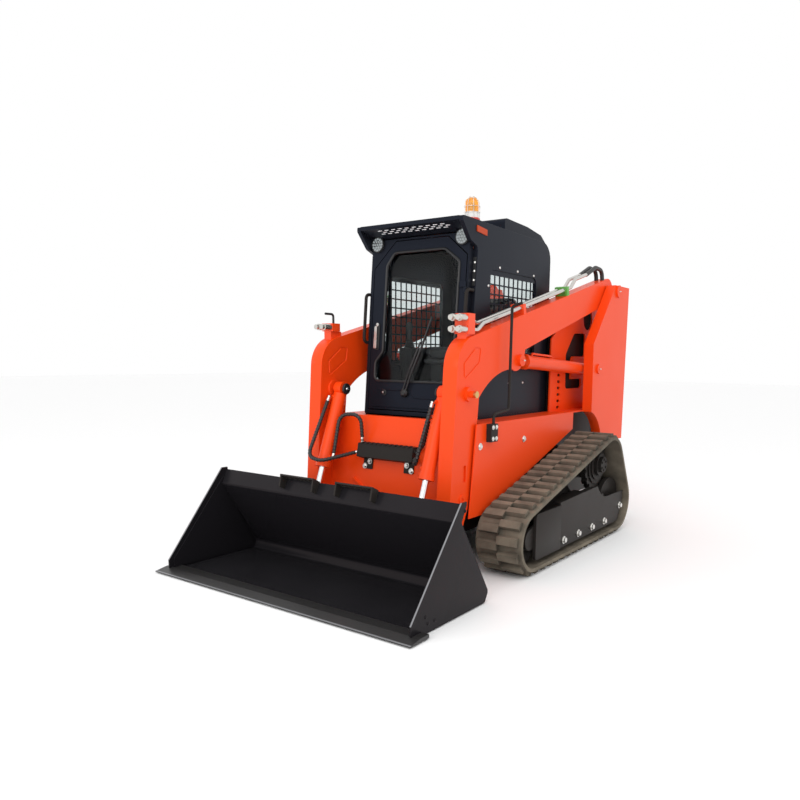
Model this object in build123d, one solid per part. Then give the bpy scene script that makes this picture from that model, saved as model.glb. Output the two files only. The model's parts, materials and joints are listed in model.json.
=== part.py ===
from build123d import *
import math
import os

# Compact track loader. Millimetres, front towards -Y, machine's left is +X, ground at Z = 0.

# Gaps between pieces
FIT = 0.3
RUN = 6.0

# Tracks: three wheels inside one rubber loop, radii measured to the tips of the lugs
TRACK_WIDTH = 320.0
TRACK_GAP = 6.0
FRONT_IDLER_Y = -360.0
FRONT_IDLER_TIP_R = 220.0
REAR_IDLER_Y = 1030.0
REAR_IDLER_TIP_R = 235.0
SPROCKET_Y = 847.0
SPROCKET_Z = 545.0
SPROCKET_TIP_R = 240.0
LUG_HEIGHT = 28.0
LUG_BASE = 66.0
LUG_TOP = 42.0
LUG_ROOT = 6.0
LUG_EDGE = 24.0
LUG_COUNT = 44
LUG_STAGGER = 0.36
BELT_THICK = 22.0
WHEEL_WIDTH = 130.0
WHEEL_GROOVE = 62.0
IDLER_HUB_R = 55.0
AXLE_R = 22.0
ROLLER_R = 78.0
ROLLER_COUNT = 4
ROLLER_FIRST_Y = 95.0
ROLLER_PITCH = 228.0
SPROCKET_WIDTH = 46.0
TOOTH_COUNT = 17
TOOTH_POCKET_R = 17.0
DRIVE_HOUSING_R = 118.0
DRIVE_FLANGE_R = 146.0
DRIVE_FLANGE = 12.0
DRIVE_CAP_R = 84.0
DRIVE_HUB_R = 58.0

# Track frames: front cover, main cover with a turned top edge, beam and saddles
FRAME_PLATE = 12.0
FRAME_SETBACK = 30.0
FRAME_BEAM_BOTTOM = 232.0
FRAME_BEAM_TOP = 338.0
FRAME_LOW_Z = 82.0
COVER_FRONT_Y = -324.0
COVER_SPLIT_Y = 34.0
COVER_FRONT_TOP_Z = 378.0
COVER_PROUD = 8.0
COVER_CORNER_R = 26.0
COVER_TOP_Z = 393.0
COVER_RISE_Y = 589.0
COVER_RISE_Z = 413.0
COVER_NOTCH_R = 234.0
COVER_REAR = ((1165.0, 311.0), (1150.0, 200.0), (1070.0, 82.0))
COVER_FLANGE = 48.0
YOKE_R = 66.0
YOKE_THICK = 18.0
SADDLE_LENGTH = 140.0
SADDLE_Y = (60.0, 560.0)

# Chassis
TUB_HALF = 430.0
TUB_FLOOR_Z = 215.0
TUB_TOP_Z = 930.0
TUB_FRONT_Y = -470.0
TUB_REAR_Y = 1600.0
TUB_WALL = 12.0
PANEL_GAP = 22.0
PANEL_FRONT_Y = -550.0
PANEL_REAR_Y = 830.0
PANEL_LOW_Z = 362.0
PANEL_REAR_DROP = 130.0
PANEL_TOE = 70.0
PANEL_HEEL = 90.0
PANEL_THICK = 10.0
ENGINE_SIZE = (560.0, 680.0, 620.0)
ENGINE_Y = 1180.0
BUMPER_DEPTH = 95.0
BUMPER_LOW_Z = 250.0
BUMPER_TOP_Z = 400.0
TIE_DOWN_X = 300.0
TIE_DOWN_BACK = 55.0
TIE_DOWN_R = 16.0

# Towers that carry the boom
TOWER_DEPTH = 84.0
TOWER_PLATE = 12.0
TOWER_TOP_Z = 1908.0
TOWER_REAR_Y = 1700.0
TOWER_TOP_FRONT_Y = 1402.0
TOWER_KINK_Y = 1010.0
TOWER_KINK_Z = 1437.0
TOWER_LEAN = 18.0
TOWER_LOW_FRONT_Z = 920.0
TOWER_BOTTOM_Z = 660.0
TOWER_FOOT_Y = 1250.0
TOWER_SCOOP = (90.0, 80.0)
TOWER_FOOT_HEIGHT = 40.0
TOWER_FOOT_BACK = 60.0
INNER_GAP = 40.0
INNER_FRONT_Y = 690.0
INNER_TOP_FRONT_Z = 1470.0
INNER_RISE = 20.0
INNER_BACK = (60.0, 120.0)
INNER_SHOULDER = 90.0
INNER_WINDOW = (
    (955.0, 1135.0),
    (945.0, 1360.0),
    (1085.0, 1520.0),
    (1300.0, 1530.0),
    (1300.0, 1345.0),
    (1050.0, 1345.0),
    (1050.0, 1135.0),
)
INNER_WINDOW_R = 30.0
INNER_POCKET = (955.0, 1250.0, 1095.0, 1168.0)
INNER_UPPER = (1340.0, 1640.0)
INNER_UPPER_R = 85.0
VENT_Y = 837.0
VENT_LOW_Z = 957.0
VENT_PITCH = 49.0
VENT_COUNT = 7
VENT_SIZE = (50.0, 20.0)
VENT_R = 6.0
PIN_HEAD = 16.0
PIN_HEAD_THICK = 14.0

# Boom, its pivots and its cylinders
BOOM_PIVOT_Y = 1455.0
BOOM_PIVOT_Z = 1862.0
BOOM_PIN_R = 32.0
ARM_GAP = 16.0
ARM_WIDTH = 98.0
ARM_TAIL_R = 92.0
ARM_TAIL_BACK = 60.0
KNEE_Y = -727.0
KNEE_Z = 1411.0
KNEE_R = 200.0
LEG_BOW = (-796.0, 482.0)
LEG_BOW_R = 300.0
LEG_TOE = 20.0
LEG_HEEL = (-598.0, 436.0)
LEG_BACK = (-515.0, 925.0)
ARCH_START = (-497.0, 1087.0)
ARCH_MIDDLE = (-394.0, 1169.0)
LIFT_LUG = ((-97.0, -55.0), (-5.0, -60.0), (60.0, 20.0), (75.0, 71.0))
BELLY_BACK = (264.0, 166.0)
BELLY_END = 40.0
EYE_SLOT = (110.0, 230.0, 130.0)
PRESSING = ((-676.0, 1297.0), (-553.0, 1386.0), (-483.0, 1382.0), (-499.0, 1297.0), (-672.0, 1191.0))
PRESSING_R = 16.0
PRESSING_LINE = 12.0
PRESSING_DEPTH = 4.0
LEG_SLOT = (-645.0, 640.0)
LEG_SLOT_SIZE = (28.0, 100.0)
LEG_SLOT_DEPTH = 12.0
LEG_RING = (-675.0, 487.0)
LEG_RING_R = 27.0
LEG_RING_BORE = 12.0
LEG_RING_HEIGHT = 9.0
TILT_BOSS_R = 54.0
TILT_COLLAR_R = 44.0
TILT_COLLAR = 18.0
TILT_STUB = 46.0
TILT_CAP = 12.0
LIFT_BOSS_R = 38.0
LIFT_BOSS = 24.0
LIFT_BASE_Y = 1120.0
LIFT_BASE_Z = 1250.0
LIFT_EYE_Y = -3.0
LIFT_EYE_Z = 1311.0
LIFT_BARREL_R = 46.0
LIFT_ROD_R = 25.0
LIFT_PIN_R = 22.0
LIFT_ROD_SHOWN = 139.6
LIFT_LINE_R = 8.0
LIFT_LINE_RISE = 60.0
LIFT_LINE_ENDS = (120.0, 560.0)
BUCKET_PIVOT_Y = -785.0
BUCKET_PIVOT_Z = 175.0
BUCKET_PIN_R = 22.0
ARM_END_R = 62.0
TILT_GAP = 66.0
TILT_TOP_Y = -623.0
TILT_TOP_Z = 1112.0
TILT_EYE_Y = -880.0
TILT_EYE_Z = 420.0
TILT_BARREL_R = 43.0
TILT_ROD_R = 20.0
TILT_PIN_R = 20.0
TILT_ROD_SHOWN = 198.2
ROD_ROOT = (160.0, 230.0)
EYE_WIDTH = 58.0
EYE_WALL = 26.0
EYE_OVERLAP = 8.0
GLAND_LENGTH = 40.0
GLAND_RISE = 6.0
PORT_R = 13.0
PORT_RISE = 8.0
PORT_UPPER = 70.0
PORT_MIDDLE = 150.0
PORT_LOWER = 470.0
PORT_TURN = 27.0
CROSS_TOP_Z = 944.0
CROSS_LOW_Z = 400.0
CROSS_TOP_Y = -592.0
CROSS_LEAN = 0.16
CROSS_THICK = 50.0
FIN_X = -195.0
FIN_Z = 475.0
FIN_SIZE = (203.0, 24.0, 12.0)
FIN_TURN = 32.9
STEP_WIDTH = 450.0
STEP_DEPTH = 62.0
STEP_TOP_Z = 770.0
STEP_HEIGHT = 108.0
STEP_BELLY = 20.0
STEP_FOOT = 62.0
STEP_FOOT_WIDTH = 75.0
STEP_FOOT_INSET = 20.0
STEP_FOOT_LAP = 40.0
STEP_FOOT_THICK = 10.0
STEP_TEETH = 9
STEP_NOTCH = (24.0, 9.0)

# Pipes, couplers and hoses on the boom
PIPE_R = 13.0
PIPE_BEND = 40.0
PIPE_SPREAD = 50.0
PIPE_RISE = 44.0
PIPE_JOIN_Y = -430.0
PIPE_SWAN = ((790.0, 0.0), (862.0, 45.0), (1060.0, 48.0))
CLAMP_Y = (60.0, 705.0)
CLAMP_LENGTH = 34.0
CLAMP_CROWN = 6.0
CLAMP_EDGE = 10.0
COUPLER_REAR_Y = -555.0
COUPLER_DEPTH = 70.0
COUPLER_BLOCK = 96.0
COUPLER_LOW_Z = 1487.0
COUPLER_HIGH_Z = 1553.0
COUPLER_MARGIN = 26.0
COUPLER_FOOT = (60.0, 100.0, 60.0)
COUPLER_R = 21.0
COUPLER_NOSE_R = 16.0
COUPLER_REACH = 62.0
COUPLER_NOSE = 22.0
HOOK_R = 6.5
HOOK_BEND = 18.0
HOOK_RISE = 62.0
HOOK_REACH = 74.0
TAIL_HOSE_R = 16.0
TAIL_HOSE_BEND = 64.0
TAIL_HOSE = ((1228.0, 2030.0), (1362.0, 2022.0), (1376.0, 1930.0))
TILT_HOSE_R = 11.0
TILT_HOSE_BEND = 62.0
TILT_HOSES = (
    ((-451.0, -704.0, 1067.0), (-485.0, -880.0, 680.0), (-345.0, -905.0, 662.0), (-225.3, -660.0, 712.0)),
    ((-208.0, -656.0, 770.3), (-205.0, -676.0, 958.0), (-350.0, -716.0, 948.0), (-352.0, -786.0, 662.0)),
    ((389.0, -704.0, 1067.0), (300.0, -765.0, 665.0), (225.3, -664.0, 700.0)),
    ((352.0, -680.0, 985.0), (292.0, -665.0, 790.0), (225.3, -648.0, 738.0)),
)

# Bucket
BUCKET_WIDTH = 1880.0
EDGE_WIDTH = 1970.0
EDGE_FRONT_Y = -1700.0
EDGE_LENGTH = 150.0
EDGE_THICK = 20.0
EDGE_BEVEL = 76.0
EDGE_NOSE = 6.0
BUCKET_CLEAR = 6.0
BUCKET_SHEET = 10.0
BUCKET_TOP_Y = -1170.0
BUCKET_TOP_Z = 583.0
BUCKET_LIP_Y = -1214.0
BUCKET_LIP_Z = 498.0
BUCKET_LIP_R = 8.0
BUCKET_HEEL_Y = -900.0
HEEL_CUT = 70.0
HEEL_R = 30.0
CHEEK_SETBACK = 86.0
CHEEK_NOSE = 70.0
CHEEK_CORNER = 18.0
LINER_THICK = 8.0
LINER_SETBACK = 30.0
COUPLER_PLATE = 18.0
COUPLER_LOW = 90.0
COUPLER_SIDE = 56.0
COUPLER_HEIGHT = 400.0
EAR_THICK = 15.0
EAR_SINK = 1.0
ARM_EAR_FOOT = 150.0
ARM_EAR_WALL = 30.0
TILT_EAR_FOOT = (240.0, 430.0)
TILT_EAR_WALL = 28.0
LADDER_X = 225.0
LADDER_HALF = 140.0
LADDER_RISE = 6.0
LADDER_DEPTH = 60.0
LADDER_DROP = 70.0
LADDER_TOE = 40.0
LADDER_PLATE = 12.0
LADDER_TREAD = 10.0
LADDER_SLOTS = 6
LADDER_SLOT = (22.0, 40.0)

# Cab
CAB_INSET = 10.0
CAB_WALL = 30.0
CAB_FLOOR_Z = 940.0
CAB_FLOOR = 20.0
CAB_FLOOR_SETBACK = 60.0
CAB_FRONT_Y = -425.0
CAB_LEAN = 5.2
CAB_REAR_Y = 725.0
CAB_BACK_WALL_Y = 640.0
SIDE_SETBACK = 50.0
SIDE_REAR_R = 120.0
SIDE_RADII = (4.0, 25.0, 40.0, 10.0, 10.0, SIDE_REAR_R, 4.0)
ROOF_Z = 2165.0
ROOF_FALL = 20.0
ROOF_THICK = 36.0
ROOF_REAR_GAP = 40.0
VISOR_FRONT_Y = -450.0
VISOR_LOW_Z = 2098.0
VISOR_LIP = 24.0
VISOR_BACK = 96.0
VISOR_SHEET = 12.0
VISOR_CHEEK = (90.0, 66.0, 30.0, 96.0)
VISOR_SLOT = (32.0, 9.0)
VISOR_SLOT_PITCH = 55.0
VISOR_SLOT_ROW = 20.0
VISOR_SLOTS = 10
VISOR_ROWS = 3
HATCH_HALF = 360.0
HATCH_LINE = ((150.0, 85.0), (467.0, 72.0), (678.0, 44.0), (756.0, -4.0))
HATCH_R = 26.0
DOOR_HINGE_GAP = 15.0
DOOR_LATCH_GAP = 30.0
DOOR_GAP = 6.0
DOOR_THICK = 34.0
DOOR_LOW = 34.0
DOOR_TOP = 1138.0
DOOR_CHAMFER = ((150.0, 120.0), (170.0, 170.0))
DOOR_RIM = 18.0
DOOR_REBATE = 6.0
PANE_LOW = 225.0
PANE_RIM = (45.0, 50.0, 72.0)
PANE_CHAMFER = (155.0, 165.0)
PANE_JOG = 105.0
PANE_JOG_Z = (420.0, 350.0)
PANE_R = 40.0
GLASS_THICK = 6.0
HANDLE_X = 52.0
HANDLE_Z = 520.0
HANDLE_SIZE = (34.0, 160.0, 26.0)
HANDLE_R = 15.0
WINDOW_FRONT_Y = -120.0
WINDOW_REAR_Y = 510.0
WINDOW_LOW_Z = 1270.0
WINDOW_TOP_Z = 1885.0
WINDOW_R = 40.0
GUARD_PITCH = 62.0
GUARD_BAR = 9.0
GUARD_SETBACK = 6.0
REAR_PANE_RIM = 70.0
REAR_PANE_LOW_Z = 1640.0
REAR_PANE_TOP = 60.0
LAMP_INSET = 81.0
LAMP_R = 46.0
LAMP_RIM = 4.0
LAMP_DEPTH = 14.0
LAMP_BEZEL = 8.0
LAMP_UP = 1127.0
BEACON_INSET = 90.0
BEACON_Y = -215.0
BEACON_R = 52.0
BEACON_BASE = 50.0
BEACON_LENS_R = 40.0
BEACON_LENS = 65.0
GRAB_LOW_Z = 1420.0
GRAB_TOP_Z = 1740.0
GRAB_REACH = 75.0
GRAB_R = 11.0
GRAB_BEND = 30.0
POST_R = 9.0
POST_BEND = 22.0
POST_STAND = 26.0
POST_LINE = ((-400.0, 905.0), (-400.0, 985.0), (-215.0, 1005.0), (-205.0, 1640.0))
POST_TIP = (70.0, 1660.0)
POST_BRACKET = (-440.0, -360.0, 815.0, 925.0)
POST_BRACKET_DEPTH = 36.0
SEAT_HALF = 235.0
SEAT_PEDESTAL_HALF = 190.0
SEAT_PEDESTAL = (60.0, 440.0)
SEAT_PAN_Z = 1290.0
SEAT_FRONT_Y = -10.0
SEAT_TOP_Z = 1400.0
SEAT_BACK = ((470.0, 1290.0), (560.0, 1330.0), (600.0, 1760.0), (515.0, 1775.0), (440.0, 1400.0))
SEAT_RADII = (30.0, 40.0, 60.0, 34.0, 34.0, 50.0, 40.0)
CONSOLE_X = (262.0, 372.0)
CONSOLE_Y = (-60.0, 430.0)
CONSOLE_TOP_Z = 1390.0
CONSOLE_SLOPE = 60.0
STICK_Y = -10.0
STICK_R = 16.0
STICK_HEIGHT = 150.0

# Rear door and hood
HOOD_Z = 1600.0
HOOD_DROP = 70.0
HOOD_THICK = 40.0
HOOD_SLOTS = 8
HOOD_SLOT = (520.0, 30.0)
HOOD_SLOT_PITCH = 62.0
REAR_DOOR_THICK = 60.0
REAR_DOOR_OVERLAP = 6.0
REAR_DOOR_CORNER_R = 40.0
REAR_DOOR_DROP = 10.0
GRILLE_HALF = 290.0
GRILLE_LOW_Z = 700.0
GRILLE_TOP_Z = 1240.0
GRILLE_DEPTH = 14.0
GRILLE_R = 30.0
GRILLE_SLOTS = 9
GRILLE_SLOT = 30.0
GRILLE_BAR = 36.0
TAIL_LAMP_X = 362.0
TAIL_LAMP_Z = 1175.0
TAIL_LAMP = (80.0, 110.0, 12.0)
REAR_HINGES = (620.0, 1180.0)

# Hinges of both doors
HINGE_R = 7.5
HINGE_OFFSET = 3.0
HINGE_LEAF = 34.0
HINGE_HEIGHT = 34.0
DOOR_HINGES = (160.0, 820.0)

# Widths that follow from the tub outwards
CAB_HALF = TUB_HALF - CAB_INSET
INNER_PLATE_X = TUB_HALF + INNER_GAP
ARM_IN_X = INNER_PLATE_X + ARM_GAP
ARM_OUT_X = ARM_IN_X + ARM_WIDTH
ARM_MID_X = ARM_OUT_X - ARM_WIDTH / 2
TILT_X = ARM_IN_X - TILT_GAP
TOWER_X = ARM_OUT_X + TOWER_DEPTH
TOWER_IN_X = ARM_OUT_X + RUN
PANEL_X = ARM_OUT_X + PANEL_GAP
TRACK_IN = PANEL_X + TRACK_GAP
TRACK_OUT = TRACK_IN + TRACK_WIDTH
TRACK_X = (TRACK_IN + TRACK_OUT) / 2
FRAME_OUT_X = TRACK_OUT - FRAME_SETBACK
FRAME_IN_X = 2 * TRACK_X - FRAME_OUT_X
COUPLER_HALF = ARM_OUT_X + COUPLER_SIDE
DOOR_LEFT_X = CAB_HALF - CAB_WALL - DOOR_HINGE_GAP
DOOR_RIGHT_X = DOOR_LATCH_GAP + CAB_WALL - CAB_HALF
LAMP_X = CAB_HALF - LAMP_INSET
BEACON_X = CAB_HALF - BEACON_INSET
REAR_DOOR_HALF = TUB_HALF + REAR_DOOR_OVERLAP
FRONT_IDLER_Z = FRONT_IDLER_TIP_R
REAR_IDLER_Z = REAR_IDLER_TIP_R
WHEELS = (
    (FRONT_IDLER_Y, FRONT_IDLER_Z, FRONT_IDLER_TIP_R),
    (REAR_IDLER_Y, REAR_IDLER_Z, REAR_IDLER_TIP_R),
    (SPROCKET_Y, SPROCKET_Z, SPROCKET_TIP_R),
)

FRONT_PLANE = Plane(
    origin=(0, CAB_FRONT_Y, CAB_FLOOR_Z),
    x_dir=(1, 0, 0),
    z_dir=(0, -math.cos(math.radians(CAB_LEAN)), math.sin(math.radians(CAB_LEAN))),
)


def yz_face(points, radius=0.0):
    """Face with corners (y, z), rounded by one radius or one per corner."""
    if radius:
        return make_face(FilletPolyline(*points, radius=radius, close=True))
    return make_face(Polyline(*points, close=True))


def along_x(face, x0, x1):
    """Extrude a face drawn in (y, z) from one X plane to another."""
    return extrude(Plane.YZ.offset(x0) * face, x1 - x0, dir=(1, 0, 0))


def rod_x(y, z, radius, x0, x1):
    """Round bar along X."""
    return along_x(Pos(y, z) * Circle(radius), x0, x1)


def block(x0, x1, y0, y1, z0, z1):
    """Box between six planes."""
    return Pos((x0 + x1) / 2, (y0 + y1) / 2, (z0 + z1) / 2) * Box(x1 - x0, y1 - y0, z1 - z0)


def tube(points, radius, bend):
    """Round bar or pipe along straight runs with bends of one radius."""
    path = FilletPolyline(*points, radius=bend)
    section = Plane(origin=path @ 0, z_dir=path % 0) * Circle(radius)
    return sweep(section, path=path)


def pair(shape):
    """A piece and its mirror image on the other side."""
    return [shape, mirror(shape, Plane.YZ)]


def save(node, *solids):
    """Write one node's STEP file."""
    pieces = [solid for shape in solids for solid in shape.solids()]
    export_step(pieces[0] if len(pieces) == 1 else Compound(children=pieces), f"parts/{node}.step")


# Track loop

def loop_face(inset):
    """Loop round the three wheels, set in from the tips of the lugs."""
    return make_hull([(Pos(y, z) * Circle(r - inset)).edge() for y, z, r in WHEELS])


def lug_faces(phase):
    """Sections of the lugs round the loop, each rooted in the belt."""
    wire = loop_face(LUG_HEIGHT).wire()
    centre = wire.bounding_box().center()
    corners = (
        (-LUG_BASE / 2, -LUG_ROOT),
        (-LUG_TOP / 2, LUG_HEIGHT),
        (LUG_TOP / 2, LUG_HEIGHT),
        (LUG_BASE / 2, -LUG_ROOT),
    )
    faces = []
    for k in range(LUG_COUNT):
        middle = (k + phase) / LUG_COUNT
        points = []
        for along, height in corners:
            place = (middle + along / wire.length) % 1.0
            base = wire @ place
            run = wire % place
            out = Vector(run.Y, -run.X)
            if out.dot(base - centre) < 0:
                out = out * -1
            tip = base + out * height
            points.append((tip.X, tip.Y))
        faces.append(make_face(Polyline(*points, close=True)))
    return faces


def make_track():
    """Rubber loop with plain edges, whose two halves carry lugs set out of step."""
    belt = loop_face(LUG_HEIGHT)
    hollow = loop_face(LUG_HEIGHT + BELT_THICK)
    inner = along_x(belt + lug_faces(0.0) - hollow, TRACK_IN + LUG_EDGE, TRACK_X)
    outer = along_x(belt + lug_faces(LUG_STAGGER) - hollow, TRACK_X, TRACK_OUT - LUG_EDGE)
    edges = along_x(belt - hollow, TRACK_IN, TRACK_IN + LUG_EDGE)
    edges += along_x(belt - hollow, TRACK_OUT - LUG_EDGE, TRACK_OUT)
    return inner + outer + edges


def grooved(y, z, radius):
    """Two rims that leave a groove for the belt's drive lugs and the sprocket."""
    near = rod_x(y, z, radius, TRACK_X - WHEEL_WIDTH / 2, TRACK_X - WHEEL_GROOVE / 2)
    far = rod_x(y, z, radius, TRACK_X + WHEEL_GROOVE / 2, TRACK_X + WHEEL_WIDTH / 2)
    return near + far


def wheel(y, z, tip_r, short=0.0):
    """Idler wheel with a hub that reaches both frame plates, or stops short of them."""
    radius = tip_r - LUG_HEIGHT - BELT_THICK - FIT
    reach = FRAME_OUT_X - FRAME_PLATE - TRACK_X - short
    return grooved(y, z, radius) + rod_x(y, z, IDLER_HUB_R, TRACK_X - reach, TRACK_X + reach)


def make_rollers():
    """Row of bottom rollers under the beam."""
    z = LUG_HEIGHT + BELT_THICK + FIT + ROLLER_R
    rollers = []
    for k in range(ROLLER_COUNT):
        y = ROLLER_FIRST_Y + k * ROLLER_PITCH
        drum = grooved(y, z, ROLLER_R)
        drum += rod_x(y, z, AXLE_R, FRAME_IN_X + FRAME_PLATE, FRAME_OUT_X - FRAME_PLATE)
        rollers.append(drum)
    return rollers


def make_sprocket():
    """Toothed drive ring on the final drive housing."""
    radius = SPROCKET_TIP_R - LUG_HEIGHT - BELT_THICK - FIT
    ring = Circle(radius) - Circle(DRIVE_HOUSING_R + FIT)
    ring -= PolarLocations(radius, TOOTH_COUNT) * Circle(TOOTH_POCKET_R)
    place = Pos(SPROCKET_Y, SPROCKET_Z)
    return along_x(place * ring, TRACK_X - SPROCKET_WIDTH / 2, TRACK_X + SPROCKET_WIDTH / 2)


def make_final_drive():
    """Final drive from the tub's wall out through the sprocket: housing, flange, cap and hub."""
    face = TRACK_X + SPROCKET_WIDTH
    drive = rod_x(SPROCKET_Y, SPROCKET_Z, DRIVE_HOUSING_R, TUB_HALF, face)
    flange = TRACK_X + SPROCKET_WIDTH / 2
    drive += rod_x(SPROCKET_Y, SPROCKET_Z, DRIVE_FLANGE_R, flange, flange + DRIVE_FLANGE)
    drive += rod_x(SPROCKET_Y, SPROCKET_Z, DRIVE_CAP_R, face, face + SPROCKET_WIDTH / 2)
    return drive + rod_x(SPROCKET_Y, SPROCKET_Z, DRIVE_HUB_R, face, face + SPROCKET_WIDTH)


def make_track_frame():
    """Beam with a front cover, a main cover notched round the drive, an idler yoke and saddles."""
    outline = [
        (COVER_SPLIT_Y, FRAME_LOW_Z),
        (COVER_SPLIT_Y, COVER_TOP_Z),
        (COVER_RISE_Y, COVER_RISE_Z),
        (SPROCKET_Y, COVER_RISE_Z),
        (SPROCKET_Y, COVER_REAR[0][1]),
        *COVER_REAR,
    ]
    main_cover = yz_face(outline) - Pos(SPROCKET_Y, SPROCKET_Z) * Circle(COVER_NOTCH_R)
    front_cover = yz_face(
        [
            (COVER_FRONT_Y, FRAME_LOW_Z),
            (COVER_SPLIT_Y, FRAME_LOW_Z),
            (COVER_SPLIT_Y, COVER_FRONT_TOP_Z),
            (COVER_FRONT_Y, COVER_FRONT_TOP_Z),
        ],
        radius=(COVER_CORNER_R, FIT, FIT, COVER_CORNER_R),
    )
    lip = yz_face(
        [
            (COVER_SPLIT_Y, COVER_TOP_Z),
            (COVER_RISE_Y, COVER_RISE_Z),
            (COVER_RISE_Y, COVER_RISE_Z - FRAME_PLATE),
            (COVER_SPLIT_Y, COVER_TOP_Z - FRAME_PLATE),
        ]
    )
    frame = along_x(main_cover, FRAME_OUT_X - FRAME_PLATE, FRAME_OUT_X)
    frame += along_x(front_cover, FRAME_OUT_X - FRAME_PLATE, FRAME_OUT_X + COVER_PROUD)
    frame += along_x(lip, FRAME_OUT_X - COVER_FLANGE, FRAME_OUT_X)
    frame += along_x(main_cover + front_cover, FRAME_IN_X, FRAME_IN_X + FRAME_PLATE)
    beam_front = FRONT_IDLER_Y + FRONT_IDLER_TIP_R
    beam_rear = REAR_IDLER_Y - REAR_IDLER_TIP_R
    inside = FRAME_IN_X + FRAME_PLATE
    outside = FRAME_OUT_X - FRAME_PLATE
    frame += block(inside, outside, beam_front, beam_rear, FRAME_BEAM_BOTTOM, FRAME_BEAM_TOP)
    yoke = make_hull(
        [
            (Pos(FRONT_IDLER_Y, FRONT_IDLER_Z) * Circle(YOKE_R)).edge(),
            (Pos(beam_front, (FRAME_BEAM_BOTTOM + FRAME_BEAM_TOP) / 2) * Circle(YOKE_R)).edge(),
        ]
    )
    frame += along_x(yoke, inside, inside + YOKE_THICK)
    frame += along_x(yoke, outside - YOKE_THICK, outside)
    for y in SADDLE_Y:
        frame += block(TUB_HALF, FRAME_IN_X, y, y + SADDLE_LENGTH, FRAME_BEAM_BOTTOM, FRAME_BEAM_TOP)
    return frame


# Chassis

def make_tub():
    """Open welded tub between the tracks."""
    outer = block(-TUB_HALF, TUB_HALF, TUB_FRONT_Y, TUB_REAR_Y, TUB_FLOOR_Z, TUB_TOP_Z)
    hollow = block(
        -TUB_HALF + TUB_WALL,
        TUB_HALF - TUB_WALL,
        TUB_FRONT_Y + TUB_WALL,
        TUB_REAR_Y + TUB_WALL,
        TUB_FLOOR_Z + TUB_WALL,
        TUB_TOP_Z + TUB_WALL,
    )
    return outer - hollow


def make_side_panel():
    """Orange lower panel with a deck turned in to the tub."""
    skirt = yz_face(
        [
            (PANEL_FRONT_Y, TUB_TOP_Z),
            (PANEL_REAR_Y, TUB_TOP_Z),
            (PANEL_REAR_Y, TUB_TOP_Z - PANEL_REAR_DROP),
            (PANEL_FRONT_Y + PANEL_HEEL, PANEL_LOW_Z),
            (PANEL_FRONT_Y - PANEL_TOE, PANEL_LOW_Z),
        ]
    )
    plate = along_x(skirt, PANEL_X - PANEL_THICK, PANEL_X)
    deck = block(TUB_HALF, PANEL_X, TUB_FRONT_Y, PANEL_REAR_Y, TUB_TOP_Z - PANEL_THICK, TUB_TOP_Z)
    shelf = block(TUB_HALF, TOWER_IN_X, PANEL_REAR_Y, TUB_REAR_Y, TUB_TOP_Z - PANEL_THICK, TUB_TOP_Z)
    return plate + deck + shelf


def make_engine():
    """Engine as one plain block on the tub's floor."""
    width, length, height = ENGINE_SIZE
    z0 = TUB_FLOOR_Z + TUB_WALL
    return block(-width / 2, width / 2, ENGINE_Y - length / 2, ENGINE_Y + length / 2, z0, z0 + height)


def make_bumper():
    """Rear bumper below the engine door, with two bores for tie-down pins."""
    bumper = block(-TUB_HALF, TUB_HALF, TUB_REAR_Y, TUB_REAR_Y + BUMPER_DEPTH, BUMPER_LOW_Z, BUMPER_TOP_Z)
    for x in (-TIE_DOWN_X, TIE_DOWN_X):
        middle = Pos(x, TUB_REAR_Y + TIE_DOWN_BACK, (BUMPER_LOW_Z + BUMPER_TOP_Z) / 2)
        bumper -= middle * Cylinder(TIE_DOWN_R, BUMPER_TOP_Z - BUMPER_LOW_Z)
    return bumper


# Towers

def tower_face():
    """Outline of the outer tower plate."""
    outline = Polyline(
        (TOWER_FOOT_Y, TOWER_BOTTOM_Z),
        (TOWER_REAR_Y, TOWER_BOTTOM_Z),
        (TOWER_REAR_Y, TOWER_TOP_Z),
        (TOWER_TOP_FRONT_Y, TOWER_TOP_Z),
        (TOWER_KINK_Y, TOWER_KINK_Z),
        (TOWER_KINK_Y + TOWER_LEAN, TOWER_LOW_FRONT_Z),
    )
    arc = ThreePointArc(
        (TOWER_KINK_Y + TOWER_LEAN, TOWER_LOW_FRONT_Z),
        (TOWER_FOOT_Y - TOWER_SCOOP[0], TOWER_LOW_FRONT_Z - TOWER_SCOOP[1]),
        (TOWER_FOOT_Y, TOWER_BOTTOM_Z),
    )
    return make_face(Curve() + [outline, arc])


def make_tower_outer():
    """Outer tower plate with a flange turned in all round."""
    pan = along_x(tower_face(), TOWER_IN_X, TOWER_X)
    pocket = offset(tower_face(), -TOWER_PLATE, kind=Kind.INTERSECTION)
    pan -= along_x(pocket, TOWER_IN_X, TOWER_X - TOWER_PLATE)
    foot = block(
        INNER_PLATE_X,
        TOWER_X - TOWER_PLATE,
        TOWER_FOOT_Y + TOWER_FOOT_BACK,
        TUB_REAR_Y,
        TUB_TOP_Z,
        TUB_TOP_Z + TOWER_FOOT_HEIGHT,
    )
    pan += foot
    for y, z, r in ((BOOM_PIVOT_Y, BOOM_PIVOT_Z, BOOM_PIN_R), (LIFT_BASE_Y, LIFT_BASE_Z, LIFT_PIN_R)):
        pan -= rod_x(y, z, r + FIT, TOWER_IN_X, TOWER_X)
    return pan


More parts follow.
